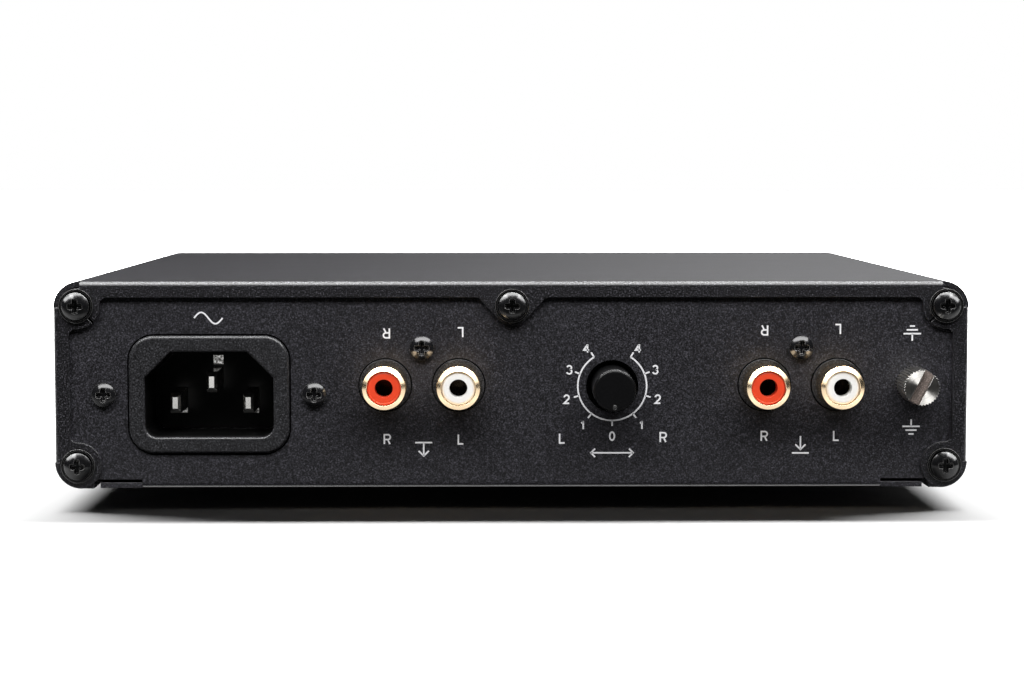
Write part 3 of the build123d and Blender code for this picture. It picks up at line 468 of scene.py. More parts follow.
class Finish:
    """One material, built from the shared groups around one Principled shader."""

    def __init__(self, name, **shader_values):
        self.material = bpy.data.materials.new(name)
        self.material.use_nodes = True
        self.tree = self.material.node_tree
        self.shader = self.tree.nodes["Principled BSDF"]
        self.base_normal = None
        put_all(self.tree, self.shader, shader_values)

    def place_group(self, group, **values):
        node = add(self.tree, "Group", {"node_tree": group})
        put_all(self.tree, node, values)
        return node.outputs

    def textured(self, group, **values):
        """Takes the colour, the height and any roughness from a group."""
        found = self.place_group(group, **values)
        self.colour, self.height = found["Colour"], found["Height"]
        if "Roughness" in found:
            put(self.tree, self.shader.inputs["Roughness"], found["Roughness"])
        return self

    def grained(self, tone, grain, contrast, roughness):
        return self.textured(
            grain_group(), Colour=tone, Grain=grain, Contrast=contrast, Roughness=roughness,
        )

    def turned(self, tone, centre, pitch, roughness):
        return self.textured(
            turned_group(), Colour=tone, Centre=centre, Pitch=pitch, Roughness=roughness,
        )

    def woven(self, tone, thread):
        return self.textured(weave_group(), Colour=tone, Thread=thread)

    def edged(self, edge_tone, radius, wear):
        found = self.place_group(
            edge_group(), Colour=self.colour, Edge_Colour=edge_tone, Radius=radius, Wear=wear,
        )
        self.colour, self.base_normal = found["Colour"], found["Normal"]
        return self

    def dusted(self, amount):
        self.colour = self.place_group(dust_group(), Colour=self.colour, Amount=amount)["Colour"]
        return self

    def made(self, relief):
        """Joins the colour and the relief to the shader and gives the material."""
        put(self.tree, self.shader.inputs["Base Color"], self.colour)
        bump = add(self.tree, "Bump", Distance=relief, Height=self.height)
        if self.base_normal is not None:
            put(self.tree, bump.inputs["Normal"], self.base_normal)
        put(self.tree, self.shader.inputs["Normal"], bump.outputs[0])
        return self.material


def tinted(tone, scale):
    """Colour scaled, and kept within the range of a finish."""
    return [min(1.0, scale * part) for part in tone]


def nodes_of(slot):
    """CAD nodes whose material slot has this name."""
    rows = frame["record"]["subparts"]
    return [row["node"] for row in rows if row["material_slot"] == slot]


def paint(nodes, material):
    for name in nodes:
        for material_slot in frame["nodes"][name].material_slots:
            material_slot.material = material


# Shapes

def keep_piece(mesh, name, body, material):
    """Object of a new piece that rides on a body."""
    piece = bpy.data.objects.new(name, mesh)
    bpy.context.scene.collection.objects.link(piece)
    mesh.materials.append(material)
    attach(piece, body)
    return piece


def circle(centre, r, steps):
    """Places in X and Z about a centre."""
    turns = [2 * pi * step / steps for step in range(steps)]
    return [(centre.x + r * cos(turn), centre.z + r * sin(turn)) for turn in turns]


def add_ring(shape, outline, y):
    """Adds the corners of an outline drawn in X and Z at one place along Y."""
    return [shape.verts.new((x, y, z)) for x, z in outline]


def add_skin(shape, rings):
    """Joins each ring of corners to the next one with faces."""
    for ring, after in zip(rings, rings[1:]):
        for corner in range(len(ring)):
            following = (corner + 1) % len(ring)
            shape.faces.new((ring[corner], ring[following], after[following], after[corner]))


def add_closed(shape, rings):
    """Adds a solid whose skin runs through rings of corners, with a flat face at each end."""
    add_skin(shape, rings)
    shape.faces.new(rings[0])
    shape.faces.new(rings[-1])


def add_prism(shape, outline, near, far):
    """Adds a solid whose outline is drawn in X and Z, between two places along Y."""
    add_closed(shape, [add_ring(shape, outline, y) for y in (near, far)])


def add_turned(shape, centre, points, steps=72):
    """Adds a ring turned about Y from a closed run of radius and Y places."""
    rings = [add_ring(shape, circle(centre, r, steps), y) for r, y in points]
    add_skin(shape, rings + rings[:1])


def beyond(outline, way, limit):
    """Part of an outline that lies further than a limit along a direction."""
    kept = []
    for start, end in zip(outline, outline[1:] + outline[:1]):
        before, after = start.dot(way) - limit, end.dot(way) - limit
        if before >= 0:
            kept.append(start)
        if (before >= 0) != (after >= 0):
            kept.append(start.lerp(end, before / (before - after)))
    return kept


def finished_mesh(shape, name):
    """Mesh with its faces turned outwards."""
    bmesh.ops.recalc_face_normals(shape, faces=shape.faces)
    mesh = bpy.data.meshes.new(name)
    shape.to_mesh(mesh)
    shape.free()
    return mesh


# Pieces

class PREAMP_OT_coat_case(bpy.types.Operator):
    """Powder coat on the cover, the chassis and the rear panel"""

    bl_idname = "preamp.coat_case"
    bl_label = "Coat the Case"

    def execute(self, context):
        s = context.scene.preamp_coat
        cover = (s.cover_colour, s.grain, s.cover_contrast, s.cover_roughness)
        panel = (s.panel_colour, s.grain, s.panel_contrast, s.panel_roughness)
        coats = (("cover_paint", cover, s.cover_relief), ("panel_paint", panel, s.panel_relief))
        for slot, values, relief in coats:
            coat = Finish(slot, Specular_IOR_Level=0.5).grained(*values)
            paint(nodes_of(slot), coat.edged(s.worn_colour, s.edge, wear=0.35).made(relief))
        return {"FINISHED"}


class PREAMP_OT_finish_fasteners(bpy.types.Operator):
    """Black screws and cup washers, and plain steel parts"""

    bl_idname = "preamp.finish_fasteners"
    bl_label = "Finish the Fasteners"

    def execute(self, context):
        s = context.scene.preamp_fasteners
        for name in nodes_of("black_screw"):
            shine = 1.0 if name.startswith("cover") else 0.5
            black = Finish(name + "_black", Specular_IOR_Level=shine)
            black.grained(s.black_colour, grain=0.6 * MM, contrast=0.25, roughness=0.17)
            # The edge colour here is partly wear and partly painted glints along the heads' and
            # recesses' edges.
            black.edged(s.worn_colour, s.edge, wear=0.8)
            paint([name], black.made(relief=0.004 * MM))
        steel = Finish("plain_steel", Metallic=1.0)
        steel.grained(s.steel_colour, grain=0.9 * MM, contrast=0.06, roughness=0.34)
        steel.edged((0.7, 0.7, 0.69), s.edge, wear=0.4)
        paint(nodes_of("plain_steel"), steel.made(relief=0.006 * MM))
        return {"FINISHED"}


# Recess floor of the inlet, and where the contacts' shoulders lie on it
INLET_FLOOR_Y = -54.75 * MM
EARTH_SHOULDER = Vector((0.13 * MM, 0, 3.45 * MM))  # from the middle of the earth pin
SIDE_SHOULDER_DROP = 2.3 * MM  # below the middle of a side pin


class PREAMP_OT_finish_inlet(bpy.types.Operator):
    """Moulded bodies, inlet pins and the contact shoulders on the inlet's floor"""

    bl_idname = "preamp.finish_inlet"
    bl_label = "Finish the Inlet"

    def execute(self, context):
        s = context.scene.preamp_inlet
        for name in nodes_of("black_moulding"):
            moulding = Finish(name + "_moulding", Specular_IOR_Level=0.35)
            moulding.grained(s.moulding_colour, grain=0.3 * MM, contrast=2.4, roughness=0.36)
            moulding.edged((0.06, 0.06, 0.062), 0.14 * MM, wear=0.5)
            if name == "inlet_body":
                # Behind its mouth the inlet's recess gets a near black painted shade.
                self.darken_recess(moulding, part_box(name)[0].y, s.recess_colour)
            paint([name], moulding.made(relief=0.012 * MM))
        plate = Finish("pin_nickel", Metallic=1.0)
        plate.grained(s.pin_colour, grain=0.4 * MM, contrast=0.05, roughness=0.24)
        plate.edged((0.9, 0.9, 0.88), 0.08 * MM, wear=0.5)
        pins = [name for name in nodes_of("nickel_plate") if name.startswith("inlet")]
        paint(pins, plate.made(relief=0.003 * MM))
        cut = Finish("cut_nickel", Metallic=1.0)
        cut.grained(tinted(s.pin_colour, 0.6), grain=0.35 * MM, contrast=3.0, roughness=0.34)
        self.add_shoulders(s, cut.made(relief=0.02 * MM))
        return {"FINISHED"}

    def darken_recess(self, moulding, face_y, tone):
        """Turns the moulding's colour to a near black painted shade behind the recess' mouth."""
        tree = moulding.tree
        along = axes_of(tree, object_place(tree))["Y"]
        # Share of painted shade, growing from just behind the mouth to deeper in.
        shade_share = ramp(tree, along, face_y + 0.25 * MM, face_y + 1.6 * MM)
        moulding.colour = blend_colour(tree, shade_share, moulding.colour, tone)

    def add_shoulders(self, s, nickel):
        """Flat shoulders of the contacts, where they come through the recess floor."""
        w, h = s.shoulder_w / 2, s.earth_shoulder_h / 2
        side_low = -SIDE_SHOULDER_DROP - s.side_shoulder_h / 2
        side_high = side_low + s.side_shoulder_h
        square = [(-w, -h), (w, -h), (w, h), (-w, h)]
        slanted = [(-w, side_low), (w, side_low), (w, side_high)]
        shoulders = (
            (middle_of("inlet_pin_earth") + EARTH_SHOULDER, square),
            (middle_of("inlet_pin_line"), slanted),
            (middle_of("inlet_pin_neutral"), slanted),
        )
        shape = bmesh.new()
        for pin, corners in shoulders:
            outline = [(pin.x + x, pin.z + z) for x, z in corners]
            add_prism(shape, outline, INLET_FLOOR_Y - s.shoulder_t, INLET_FLOOR_Y)
        mesh = finished_mesh(shape, "contact_shoulders")
        keep_piece(mesh, "contact_shoulders", "case", nickel)


class PREAMP_OT_finish_sockets(bpy.types.Operator):
    """Gold shells and contacts, red and white insulators"""

    bl_idname = "preamp.finish_sockets"
    bl_label = "Finish the Sockets"

    def execute(self, context):
        s = context.scene.preamp_sockets
        for name in nodes_of("gold_plate"):
            # Contacts take the darkened gold, a painted shade inside the sockets.
            tone = s.contact_colour if "contact" in name else s.gold_colour
            plate = Finish(name + "_gold", Metallic=1.0)
            plate.turned(tone, middle_of(name), pitch=0.12 * MM, roughness=0.2)
            gold = plate.edged(tinted(tone, 1.15), 0.06 * MM, wear=0.3).made(relief=0.0004 * MM)
            paint([name], gold)
            if "shell" in name:
                self.add_sleeve(name, s, gold)
        for slot, tone in (("red_plastic", s.right_colour), ("white_plastic", s.left_colour)):
            plastic = Finish(slot, Specular_IOR_Level=0.5)
            plastic.grained(tone, grain=0.7 * MM, contrast=0.05, roughness=0.3)
            plastic.edged(tinted(tone, 1.1), 0.1 * MM, wear=0.4)
            paint(nodes_of(slot), plastic.made(relief=0.003 * MM))
        return {"FINISHED"}

    def add_sleeve(self, name, s, gold):
        """Shell whose mouth slopes outwards from its bore to its side."""
        low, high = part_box(name)
        r = (high.x - low.x) / 2
        bore, tail = r - s.wall, r - s.tail_step
        shoulder = low.y + s.sleeve_l
        rim, bevel_r, bevel_y = low.y + s.mouth_slope, 0.1 * MM, 0.15 * MM
        points = (
            (bore, high.y), (bore, low.y + s.inner_edge), (bore + s.inner_edge, low.y),
            (r - bevel_r, rim), (r, rim + bevel_y),
            (r, shoulder), (tail, shoulder), (tail, high.y),
        )
        shape = bmesh.new()
        add_turned(shape, middle_of(name), points)
        mesh = finished_mesh(shape, name + "_mouth")
        mesh.set_sharp_from_angle(angle=radians(20))
        piece = keep_piece(mesh, name + "_sleeve", "case", gold)
        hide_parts(name)


DOT_DROP = Vector((0, 0, -3.0 * MM))  # from the knob's axis to the middle of its dot
# Radius and depth behind the knob's face of each ring of the dot, in millimetres
DOT_RINGS = ((0.385, 0.20), (0.385, 0.07), (0.33, 0.02), (0.17, -0.01))


class PREAMP_OT_finish_balance(bpy.types.Operator):
    """Balance knob with its painted pointer dot"""

    bl_idname = "preamp.finish_balance"
    bl_label = "Finish the Balance Control"

    def execute(self, context):
        s = context.scene.preamp_controls
        knob = Finish("knob_black", Specular_IOR_Level=0.35)
        knob.grained(s.knob_colour, grain=0.28 * MM, contrast=0.9, roughness=0.3)
        knob.edged((0.012, 0.012, 0.0125), 0.5 * MM, wear=0.3)
        paint(nodes_of("knob_black"), knob.made(relief=0.006 * MM))
        paint_dot = Finish("dot_paint")
        paint_dot.grained(s.dot_colour, grain=0.2 * MM, contrast=0.08, roughness=0.4)
        self.add_dot(paint_dot.made(relief=0.004 * MM))
        return {"FINISHED"}

    def add_dot(self, material):
        """Paint that fills the dot's recess, a little domed."""
        face_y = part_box("balance_knob")[0].y
        centre = middle_of("balance_knob") + DOT_DROP
        shape = bmesh.new()
        add_closed(shape, [
            add_ring(shape, circle(centre, r * MM, steps=24), face_y + depth * MM)
            for r, depth in DOT_RINGS
        ])
        mesh = finished_mesh(shape, "pointer_dot")
        mesh.shade_smooth()
        keep_piece(mesh, "pointer_dot", "balance_spindle", material)


KNURL_COUNT = 36


class PREAMP_OT_finish_ground(bpy.types.Operator):
    """Knurled ground terminal"""

    bl_idname = "preamp.finish_ground"
    bl_label = "Finish the Ground Terminal"

    def execute(self, context):
        s = context.scene.preamp_controls
        bright = (0.88, 0.87, 0.84)
        plate = Finish(
            "terminal_nickel", Metallic=1.0, Anisotropic=0.95, Anisotropic_Rotation=0.25,
        )
        about = add(plate.tree, "Tangent", {"direction_type": "RADIAL", "axis": "Y"})
        put(plate.tree, plate.shader.inputs["Tangent"], about.outputs[0])
        plate.turned(s.terminal_colour, GROUND_CENTRE, pitch=0.22 * MM, roughness=0.40)
        face = plate.edged(bright, 0.08 * MM, wear=0.5).made(relief=0.006 * MM)
        paint(["ground_thumbscrew"], face)
        slot = Finish("terminal_slot", Metallic=0.3)
        slot.grained(s.tarnish_colour, grain=0.2 * MM, contrast=0.9, roughness=0.5)
        # The knurled sides take the plate's colour darkened to 0.7, a painted shade on the sides.
        knurl = Finish("terminal_knurl", Metallic=1.0)
        shaded_plate = tinted(s.terminal_colour, 0.7)
        knurl.grained(shaded_plate, grain=0.3 * MM, contrast=0.3, roughness=0.31)
        knurl.edged(bright, 0.08 * MM, wear=0.5)
        self.add_thumbscrew(
            s, (face, slot.made(relief=0.01 * MM), knurl.made(relief=0.004 * MM)),
        )
        return {"FINISHED"}

    def add_thumbscrew(self, s, materials):
        """Thumbscrew whose teeth run out to its slotted face."""
        low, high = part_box("ground_thumbscrew")
        clip_low, clip_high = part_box("ground_clip")
        axis = Vector((GROUND_CENTRE.x, GROUND_CENTRE.z))
        head = (high.x - low.x) / 2
        bearing = PANEL_Y - s.thumb_gap
        floor_y = low.y + s.thumb_slot_depth
        teeth = []
        for step in range(2 * KNURL_COUNT):
            r = head - s.tooth_depth * (step % 2)
            angle = pi * step / KNURL_COUNT
            teeth.append(axis + Vector((r * cos(angle), r * sin(angle))))
        shape = bmesh.new()
        add_prism(shape, teeth, floor_y, bearing)
        across = Vector((cos(s.thumb_slot_tilt), -sin(s.thumb_slot_tilt)))
        for way in (across, -across):
            half = beyond(teeth, way, axis.dot(way) + s.thumb_slot_w / 2)
            add_prism(shape, half, low.y, floor_y)
        thread = (
            (s.thread_r, bearing, clip_low.y), (s.groove_r, clip_low.y, clip_high.y),
            (s.thread_r, clip_high.y, high.y),
        )
        for r, near, far in thread:
            add_prism(shape, circle(GROUND_CENTRE, r, steps=48), near, far)
        mesh = finished_mesh(shape, "terminal_thumbscrew")
        face, slot, knurl = materials
        piece = keep_piece(mesh, "terminal_thumbscrew", "terminal_screw", face)
        mesh.materials.append(slot)
        mesh.materials.append(knurl)
        # Sides take the darkened knurl material, a painted shade; the slot's floor takes the
        # tarnish.
        for part in mesh.polygons:
            if part.normal.y > -0.5:
                part.material_index = 2
            elif abs(part.center.y - floor_y) < 0.01 * MM:
                part.material_index = 1
        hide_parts("ground_thumbscrew")


class PREAMP_OT_finish_front(bpy.types.Operator):
    """Front panel, power button and light pipe"""

    bl_idname = "preamp.finish_front"
    bl_label = "Finish the Front"

    def execute(self, context):
        s = context.scene.preamp_controls
        panel = Finish("front_finish", Specular_IOR_Level=0.5)
        panel.grained(s.front_colour, grain=0.3 * MM, contrast=1.2, roughness=0.4)
        panel.edged((0.06, 0.06, 0.062), 0.15 * MM, wear=0.3)
        paint(nodes_of("front_finish"), panel.made(relief=0.006 * MM))
        button = Finish("button_finish", Metallic=1.0)
        centre = middle_of("power_button")
        button.turned(s.button_colour, centre, pitch=0.18 * MM, roughness=0.32)
        button.edged((0.55, 0.55, 0.56), 0.12 * MM, wear=0.4)
        paint(nodes_of("button_finish"), button.made(relief=0.006 * MM))
        clear = Finish("clear_plastic", Transmission_Weight=0.85, IOR=1.49)
        clear.grained(s.light_colour, grain=0.8 * MM, contrast=0.03, roughness=0.16)
        clear.edged((1.0, 1.0, 1.0), 0.08 * MM, wear=0.3)
        paint(nodes_of("clear_plastic"), clear.made(relief=0.002 * MM))
        return {"FINISHED"}


class PREAMP_OT_finish_feet(bpy.types.Operator):
    """Rubber feet"""

    bl_idname = "preamp.finish_feet"
    bl_label = "Finish the Feet"

    def execute(self, context):
        s = context.scene.preamp_feet
        rubber = Finish("foot_rubber", Specular_IOR_Level=0.3)
        rubber.grained(s.rubber_colour, grain=0.45 * MM, contrast=0.3, roughness=0.75)
        rubber.edged((0.05, 0.05, 0.05), 0.2 * MM, wear=0.4)
        paint(nodes_of("foot_rubber"), rubber.made(relief=0.01 * MM))
        return {"FINISHED"}


class PREAMP_OT_finish_interior(bpy.types.Operator):
    """Boards, electronic parts and leads"""

    bl_idname = "preamp.finish_interior"
    bl_label = "Finish the Interior"

    def execute(self, context):
        s = context.scene.preamp_interior
        board = Finish("board_laminate", Roughness=0.35, Coat_Weight=0.3)
        board.woven(s.board_colour, thread=0.7 * MM)
        board.edged((0.42, 0.36, 0.18), 0.15 * MM, wear=0.6).dusted(0.05)
        paint(nodes_of("board_laminate"), board.made(relief=0.008 * MM))
        # Slot, colour, grain in millimetres, contrast, roughness, metal
        plain = (
            ("component_black", s.black_colour, 0.3, 0.25, 0.45, 0.0),
            ("film_yellow", s.film_colour, 0.8, 0.06, 0.3, 0.0),
            ("ferrite", s.ferrite_colour, 0.5, 0.4, 0.55, 0.0),
            ("winding_tape", s.tape_colour, 1.2, 0.1, 0.28, 0.0),
            ("wire_insulation", s.wire_colour, 0.9, 0.12, 0.38, 0.0),
            ("heatsink_metal", s.heatsink_colour, 0.6, 0.08, 0.36, 1.0),
            ("fuse_glass", s.fuse_colour, 1.0, 0.04, 0.12, 0.0),
        )
        for slot, tone, grain, contrast, roughness, metal in plain:
            finish = Finish(slot, Metallic=metal)
            finish.grained(tone, grain * MM, contrast, roughness)
            finish.edged(tinted(tone, 1.5), 0.12 * MM, wear=0.4)
            paint(nodes_of(slot), finish.made(relief=0.006 * MM))
        return {"FINISHED"}


# Marks

def bow(x, z, reach_x, reach_z, start, end, steps=16):
    """Points along part of an ellipse. Angles in degrees run anticlockwise from the right."""
    angles = [radians(start + (end - start) * index / steps) for index in range(steps + 1)]
    return [(x + reach_x * cos(angle), z + reach_z * sin(angle)) for angle in angles]


# Pen lines about the middle: in shares of a character's height or of half a sign's width
GLYPHS = {
    "0": [bow(0, 0, 0.29, 0.5, 0, 345, 23)],
    "1": [[(0.06, 0.5), (0.06, -0.5)], [(-0.2, 0.24), (-0.04, 0.29), (0.05, 0.45)]],
    "2": [bow(0, 0.21, 0.29, 0.29, 175, -35) + [(-0.29, -0.5), (0.32, -0.5)]],
    "3": [bow(0, 0.25, 0.26, 0.25, 165, -80), bow(0, -0.23, 0.3, 0.27, 85, -165)],
    "4": [[(0.13, 0.5), (0.13, -0.5)], [(0.08, 0.44), (-0.33, -0.2), (0.33, -0.2)]],
    "L": [[(-0.24, 0.5), (-0.24, -0.5), (0.29, -0.5)]],
    "R": [
        [(-0.29, -0.5), (-0.29, 0.5)] + bow(0.08, 0.24, 0.26, 0.26, 90, -90) + [(-0.22, -0.02)],
        [(0.1, -0.1), (0.31, -0.5)],
    ],
    "wave": [[(index / 16 - 1, 0.4 * sin(pi * index / 16)) for index in range(33)]],
    "arrow out": [
        [(0, 0.6), (0, -0.35)], [(-0.36, 0.01), (0, -0.35), (0.36, 0.01)],
        [(-0.6, 0.6), (0.6, 0.6)],
    ],
    "arrow in": [
        [(0, 0.8), (0, -0.15)], [(-0.36, 0.21), (0, -0.15), (0.36, 0.21)],
        [(-0.6, -0.4), (0.6, -0.4)],
    ],
    "earth": [
        [(0, 0), (0, 0.5)], [(-0.62, 0), (0.62, 0)],
        [(-0.4, -0.27), (0.4, -0.27)], [(-0.18, -0.54), (0.18, -0.54)],
    ],
    "pointer": [[(0, 0), (1.5, 0)], [(1.2, 0.3), (1.5, 0), (1.2, -0.3)]],
}
CLOSED_GLYPH = "0"

# Mark, place in X and Z on the rear panel in millimetres, and turn in degrees
LETTERS = (
    ("R", -23.9, 13.25, 0), ("L", -9.85, 13.25, 0),
    ("R", -23.9, 33.6, 180), ("L", -9.85, 33.7, 180),
    ("R", 48.2, 13.75, 0), ("L", 62.0, 13.85, 0),
    ("R", 48.2, 34.1, 180), ("L", 62.2, 34.25, 180),
    ("L", 9.5, 13.4, 0), ("R", 28.85, 13.55, 0),
)
SIGNS = (
    ("wave", -57.75, 36.5, 0), ("arrow out", -16.9, 11.0, 0), ("arrow in", 55.2, 11.6, 0),
    ("earth", 76.4, 15.6, 0), ("earth", 76.4, 33.4, 180),
    ("pointer", DIAL_CENTRE.x / MM, 10.6, 0), ("pointer", DIAL_CENTRE.x / MM, 10.6, 180),
)

TICK_TURN = radians(37.0)
LAST_TICK = 4
DIGIT_OUT = 3.02 * MM  # from the scale's line to the middle of its 0
DIGIT_CLOSER = 0.27 * MM  # how much nearer each following digit stands
LAST_DIGIT_ASIDE = 0.42 * MM


class Print:
    """Ink on the rear panel, gathered into one mesh."""

    def __init__(self, s):
        self.shape = bmesh.new()
        self.near = PANEL_Y - s.ink_height
        self.far = PANEL_Y + s.ink_height / 3
        self.half = s.line_w / 2

    def stroke(self, points, closed=False):
        """Line of even width through points in metres, with mitred corners."""
        count = len(points)
        sections = []
        for index, (x, z) in enumerate(points):
            before = points[index - 1] if index or closed else None
            after = points[(index + 1) % count] if index < count - 1 or closed else None
            turns = []
            for start, end in ((before, (x, z)), ((x, z), after)):
                if start is not None and end is not None:
                    run = hypot(end[0] - start[0], end[1] - start[1])
                    turns.append(((start[1] - end[1]) / run, (end[0] - start[0]) / run))
            side_x = sum(turn[0] for turn in turns) / len(turns)
            side_z = sum(turn[1] for turn in turns) / len(turns)
            scale = self.half / (side_x**2 + side_z**2)
            left = (x + side_x * scale, z + side_z * scale)
            right = (x - side_x * scale, z - side_z * scale)
            sections.append(
                add_ring(self.shape, (left, right), self.near)
                + add_ring(self.shape, (right, left), self.far)
            )
        if closed:
            add_skin(self.shape, sections + sections[:1])
        else:
            add_closed(self.shape, sections)

    def arc(self, centre, r, start, end, steps=64):
        """Part of a circle. Angles run from straight down towards the right."""
        angles = [start + (end - start) * index / steps for index in range(steps + 1)]
        self.stroke([(centre.x + r * sin(turn), centre.z - r * cos(turn)) for turn in angles])

    def glyph(self, name, scale, x, z, turn=0.0):
        """One mark about its middle, drawn with the pen's line."""
        right, up = scale * cos(turn), scale * sin(turn)
        for points in GLYPHS[name]:
            placed = [(x + a * right - b * up, z + a * up + b * right) for a, b in points]
            self.stroke(placed, closed=name == CLOSED_GLYPH)


class PREAMP_OT_print_marks(bpy.types.Operator):
    """Balance scale, channel letters and plain signs on the rear panel"""

    bl_idname = "preamp.print_marks"
    bl_label = "Print the Marks"

    def execute(self, context):
        s = context.scene.preamp_marks
        ink = Finish("panel_ink", Specular_IOR_Level=0.3)
        ink.grained(s.ink_colour, grain=0.3 * MM, contrast=0.06, roughness=0.5)
        printed = ink.made(relief=0.006 * MM)
        marks = (
            ("balance_scale", self.draw_dial), ("channel_letters", self.draw_letters),
            ("panel_signs", self.draw_signs),
        )
        for name, draw in marks:
            drawn = Print(s)
            draw(drawn, s)
            keep_piece(finished_mesh(drawn.shape, name), name, "case", printed)
        return {"FINISHED"}

    def draw_dial(self, drawn, s):
        drawn.arc(DIAL_CENTRE, s.dial_r, -LAST_TICK * TICK_TURN, LAST_TICK * TICK_TURN)
        for step in range(-LAST_TICK, LAST_TICK + 1):
            right, down = sin(step * TICK_TURN), cos(step * TICK_TURN)
            reaches = (s.dial_r, s.dial_r + s.tick_l)
            drawn.stroke([(DIAL_CENTRE.x + r * right, DIAL_CENTRE.z - r * down) for r in reaches])
            r = s.dial_r + DIGIT_OUT - DIGIT_CLOSER * abs(step)
            aside = LAST_DIGIT_ASIDE * int(step / LAST_TICK)
            x, z = DIAL_CENTRE.x + r * right + aside, DIAL_CENTRE.z - r * down
            drawn.glyph(str(abs(step)), s.digit_h - s.line_w, x, z)

    def draw_letters(self, drawn, s):
        for name, x, z, turn in LETTERS:
            drawn.glyph(name, s.letter_h - s.line_w, x * MM, z * MM, radians(turn))

    def draw_signs(self, drawn, s):
        """A wave for alternating current, arrows out and in, earth signs and a double arrow."""
        for name, x, z, turn in SIGNS:
            drawn.glyph(name, s.sign_w / 2, x * MM, z * MM, radians(turn))


# Stage

# Place, width and height, place aimed at and roll in degrees of each lamp
MIDDLE, PANEL_TOP, ABOVE = (0.0, -0.07, 0.024), (0.0, -0.07, 0.04), (0.0, -0.05, 0.03)
LAMPS = {
    "strip_lamp": ((0.0, 0.21, 0.70), (1.6, 0.10), ABOVE, 0),
    "soft_lamp": ((0.03, -0.50, 0.58), (1.2, 0.28), (0.0, -0.07, 0.02), 0),
    "floor_lamp": ((0.0, 0.21, 0.70), (1.6, 0.10), ABOVE, 0),
    "under_lamp": ((0.0, 0.06, -0.40), (0.6, 0.24), (0.0, 0.06, 0.0), 0),
    "edge_card": ((0.0, -0.16, 0.55), (1.4, 0.08), PANEL_TOP, 0),
    "high_card": ((0.0, -0.34, 0.30), (1.4, 0.5), MIDDLE, 0),
    "terminal_card": ((-0.085, -0.30, 0.30), (0.30, 0.30), MIDDLE, 0),
    "low_card": ((0.0, -0.15, 0.002), (0.5, 0.14), (0.0, -0.15, 1.0), 0),
    "pin_card": ((-0.075, -0.20, 0.03), (0.12, 0.05), (-0.06, -0.07, 0.02), 0),
    "screw_card": ((0.0, -0.285, 0.59), (1.0, 0.17), MIDDLE, 0),
    "left_card": ((-0.43, -0.285, 0.39), (0.5, 0.13), MIDDLE, 50),
    "right_card": ((0.46, -0.285, 0.36), (0.5, 0.13), MIDDLE, -54),
}


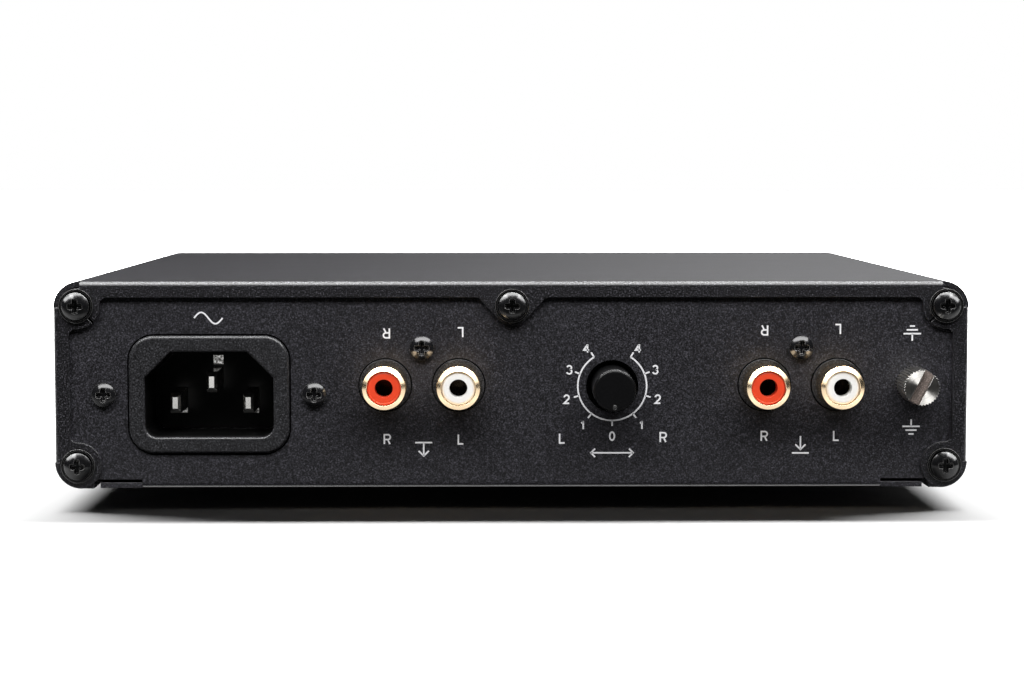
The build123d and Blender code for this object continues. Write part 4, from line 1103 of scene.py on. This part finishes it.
class PREAMP_OT_set_stage(bpy.types.Operator):
    """Pale floor, soft studio light and camera"""

    bl_idname = "preamp.set_stage"
    bl_label = "Set the Stage"

    def execute(self, context):
        s = context.scene.preamp_stage
        context.scene.view_settings.view_transform = "Standard"
        self.set_world(context.scene, s)
        floor = self.add_floor(s)
        lamps = {name: self.add_lamp(name, getattr(s, name)) for name in LAMPS}
        nodes, objects = frame["nodes"], bpy.data.objects
        gold, nickel, black = (nodes_of(n) for n in ("gold_plate", "nickel_plate", "black_screw"))
        sleeves = [objects[name + "_sleeve"] for name in gold if "shell" in name]
        pins = [nodes[name] for name in nickel if "pin" in name] + [objects["contact_shoulders"]]
        screws = [nodes[name] for name in black if name.startswith("cover")]
        below = [nodes[name] for name in ("chassis", "foot_screws", *nodes_of("foot_rubber"))]
        lit = {
            "floor_lamp": [floor], "under_lamp": below,
            "edge_card": [nodes[name] for name in ("top_cover", *nodes_of("black_moulding"))],
            "high_card": sleeves, "low_card": sleeves, "pin_card": pins,
            "terminal_card": [objects["terminal_thumbscrew"]],
            "screw_card": screws, "left_card": screws, "right_card": screws,
        }
        for name, pieces in lit.items():
            self.link_light(lamps[name], "receiver", pieces, "INCLUDE")
        self.link_light(lamps["soft_lamp"], "receiver", [floor, *pins, *screws], "EXCLUDE")
        self.link_light(lamps["under_lamp"], "blocker", [floor], "EXCLUDE")
        lamps["under_lamp"].data.cycles.max_bounces = 0
        self.add_camera(context.scene, s)
        return {"FINISHED"}

    def link_light(self, lamp, role, pieces, state):
        """Gives a lamp the only pieces that it lights, or the ones it passes over."""
        linked = bpy.data.collections.new(f"{lamp.name}_{role}")
        for piece in pieces:
            linked.objects.link(piece)
        for row in linked.collection_objects:
            row.light_linking.link_state = state
        setattr(lamp.light_linking, role + "_collection", linked)

    def seen(self, tree):
        """One for rays from the camera and for rays through glass."""
        rays = add(tree, "LightPath").outputs
        return figure(tree, "MAXIMUM", rays["Is Camera Ray"], rays["Is Transmission Ray"])

    def set_world(self, scene, s):
        """White surroundings, darker behind the camera and brighter to the right."""
        world = bpy.data.worlds.new("studio")
        world.use_nodes = True
        scene.world = world
        tree = world.node_tree
        # Each pair of bounds is a share of a unit way, and each pair of levels lies at them
        way = axes_of(tree, add(tree, "TexCoord").outputs["Generated"])
        high = ramp(tree, way["X"], -0.5, 0.5, s.high_left, s.high_right)
        low = ramp(tree, way["X"], -0.15, 0.2, s.back_left, s.back_right)
        behind = ramp(tree, way["Z"], 0.3, 0.75, low, high)
        level = ramp(tree, way["Y"], -0.1, 0.2, s.front_level, behind)
        strength = figure(tree, "MAXIMUM", level, self.seen(tree))
        put_all(tree, tree.nodes["Background"], {"Color": (1.0, 1.0, 1.0), "Strength": strength})

    def add_floor(self, s):
        """Floor that looks white, keeps the shadow and shows the object from below."""
        shape = bmesh.new()
        bmesh.ops.create_grid(shape, x_segments=1, y_segments=1, size=6.0)
        mesh = bpy.data.meshes.new("floor")
        shape.to_mesh(mesh)
        shape.free()
        floor = bpy.data.objects.new("floor", mesh)
        bpy.context.scene.collection.objects.link(floor)
        material = bpy.data.materials.new("floor")
        material.use_nodes = True
        tree = material.node_tree
        tree.nodes.remove(tree.nodes["Principled BSDF"])
        place = object_place(tree)
        reach = add(tree, "VectorMath", {"operation": "LENGTH"}, Vector=place).outputs["Value"]
        view = ramp(tree, reach, 0.3, 2.0, s.near_view, s.far_view)
        shown = add(tree, "CombineXYZ", X=view, Y=view, Z=view).outputs[0]
        behind = ramp(tree, axes_of(tree, place)["Y"], -0.11, -0.07)
        lit = blend_colour(tree, behind, s.front_floor, s.floor_colour)
        tone = blend_colour(tree, self.seen(tree), lit, shown)
        side = add(tree, "MixShader", Fac=add(tree, "NewGeometry").outputs["Backfacing"])
        put(tree, side.inputs[1], add(tree, "BsdfDiffuse", Color=tone).outputs[0])
        put(tree, side.inputs[2], add(tree, "BsdfTransparent").outputs[0])
        put(tree, tree.nodes["Material Output"].inputs["Surface"], side.outputs[0])
        mesh.materials.append(material)
        return floor

    def add_lamp(self, name, power):
        place, size, target, roll = LAMPS[name]
        lamp = bpy.data.lights.new(name, "AREA")
        lamp.shape = "RECTANGLE"
        lamp.size, lamp.size_y = size
        lamp.energy = power
        holder = bpy.data.objects.new(name, lamp)
        holder.location = place
        aim = (Vector(target) - Vector(place)).to_track_quat("-Z", "Y")
        turn = aim @ Quaternion((0.0, 0.0, 1.0), radians(roll))
        holder.rotation_euler = turn.to_euler()
        holder.visible_camera = False
        bpy.context.scene.collection.objects.link(holder)
        return holder

    def add_camera(self, scene, s):
        data = bpy.data.cameras.new("camera")
        data.lens = s.lens
        data.sensor_width = 36.0
        data.clip_start = 0.01
        data.clip_end = 50.0
        holder = bpy.data.objects.new("camera", data)
        holder.location = s.camera_place
        holder.rotation_euler = s.camera_turn
        scene.collection.objects.link(holder)
        scene.camera = holder


SETTINGS = {
    "preamp_coat": CoatSettings,
    "preamp_fasteners": FastenerSettings,
    "preamp_inlet": InletSettings,
    "preamp_sockets": SocketSettings,
    "preamp_controls": ControlSettings,
    "preamp_feet": FootSettings,
    "preamp_interior": InteriorSettings,
    "preamp_marks": MarkSettings,
    "preamp_stage": StageSettings,
}
OPERATORS = (
    PREAMP_OT_coat_case,
    PREAMP_OT_finish_fasteners,
    PREAMP_OT_finish_inlet,
    PREAMP_OT_finish_sockets,
    PREAMP_OT_finish_balance,
    PREAMP_OT_finish_ground,
    PREAMP_OT_finish_front,
    PREAMP_OT_finish_feet,
    PREAMP_OT_finish_interior,
    PREAMP_OT_print_marks,
    PREAMP_OT_set_stage,
)


class PREAMP_PT_sidebar(bpy.types.Panel):
    """Lists the preamp's operators and settings"""

    bl_idname = "PREAMP_PT_sidebar"
    bl_label = "Phono Preamp"
    bl_space_type = "VIEW_3D"
    bl_region_type = "UI"
    bl_category = "Phono Preamp"

    def draw(self, context):
        for operator in OPERATORS:
            self.layout.operator(operator.bl_idname)
        for name, group in SETTINGS.items():
            box = self.layout.box()
            box.label(text=group.__doc__)
            settings = getattr(context.scene, name)
            for label in group.__annotations__:
                box.prop(settings, label)


def register():
    for name, group in SETTINGS.items():
        bpy.utils.register_class(group)
        setattr(bpy.types.Scene, name, PointerProperty(type=group))
    for item in (*OPERATORS, PREAMP_PT_sidebar):
        bpy.utils.register_class(item)


def unregister():
    for item in reversed((*OPERATORS, PREAMP_PT_sidebar)):
        bpy.utils.unregister_class(item)
    for name, group in reversed(SETTINGS.items()):
        delattr(bpy.types.Scene, name)
        bpy.utils.unregister_class(group)


def main():
    register()
    for operator in OPERATORS:
        module, name = operator.bl_idname.split(".")
        getattr(getattr(bpy.ops, module), name)()


if __name__ == "__main__":
    main()
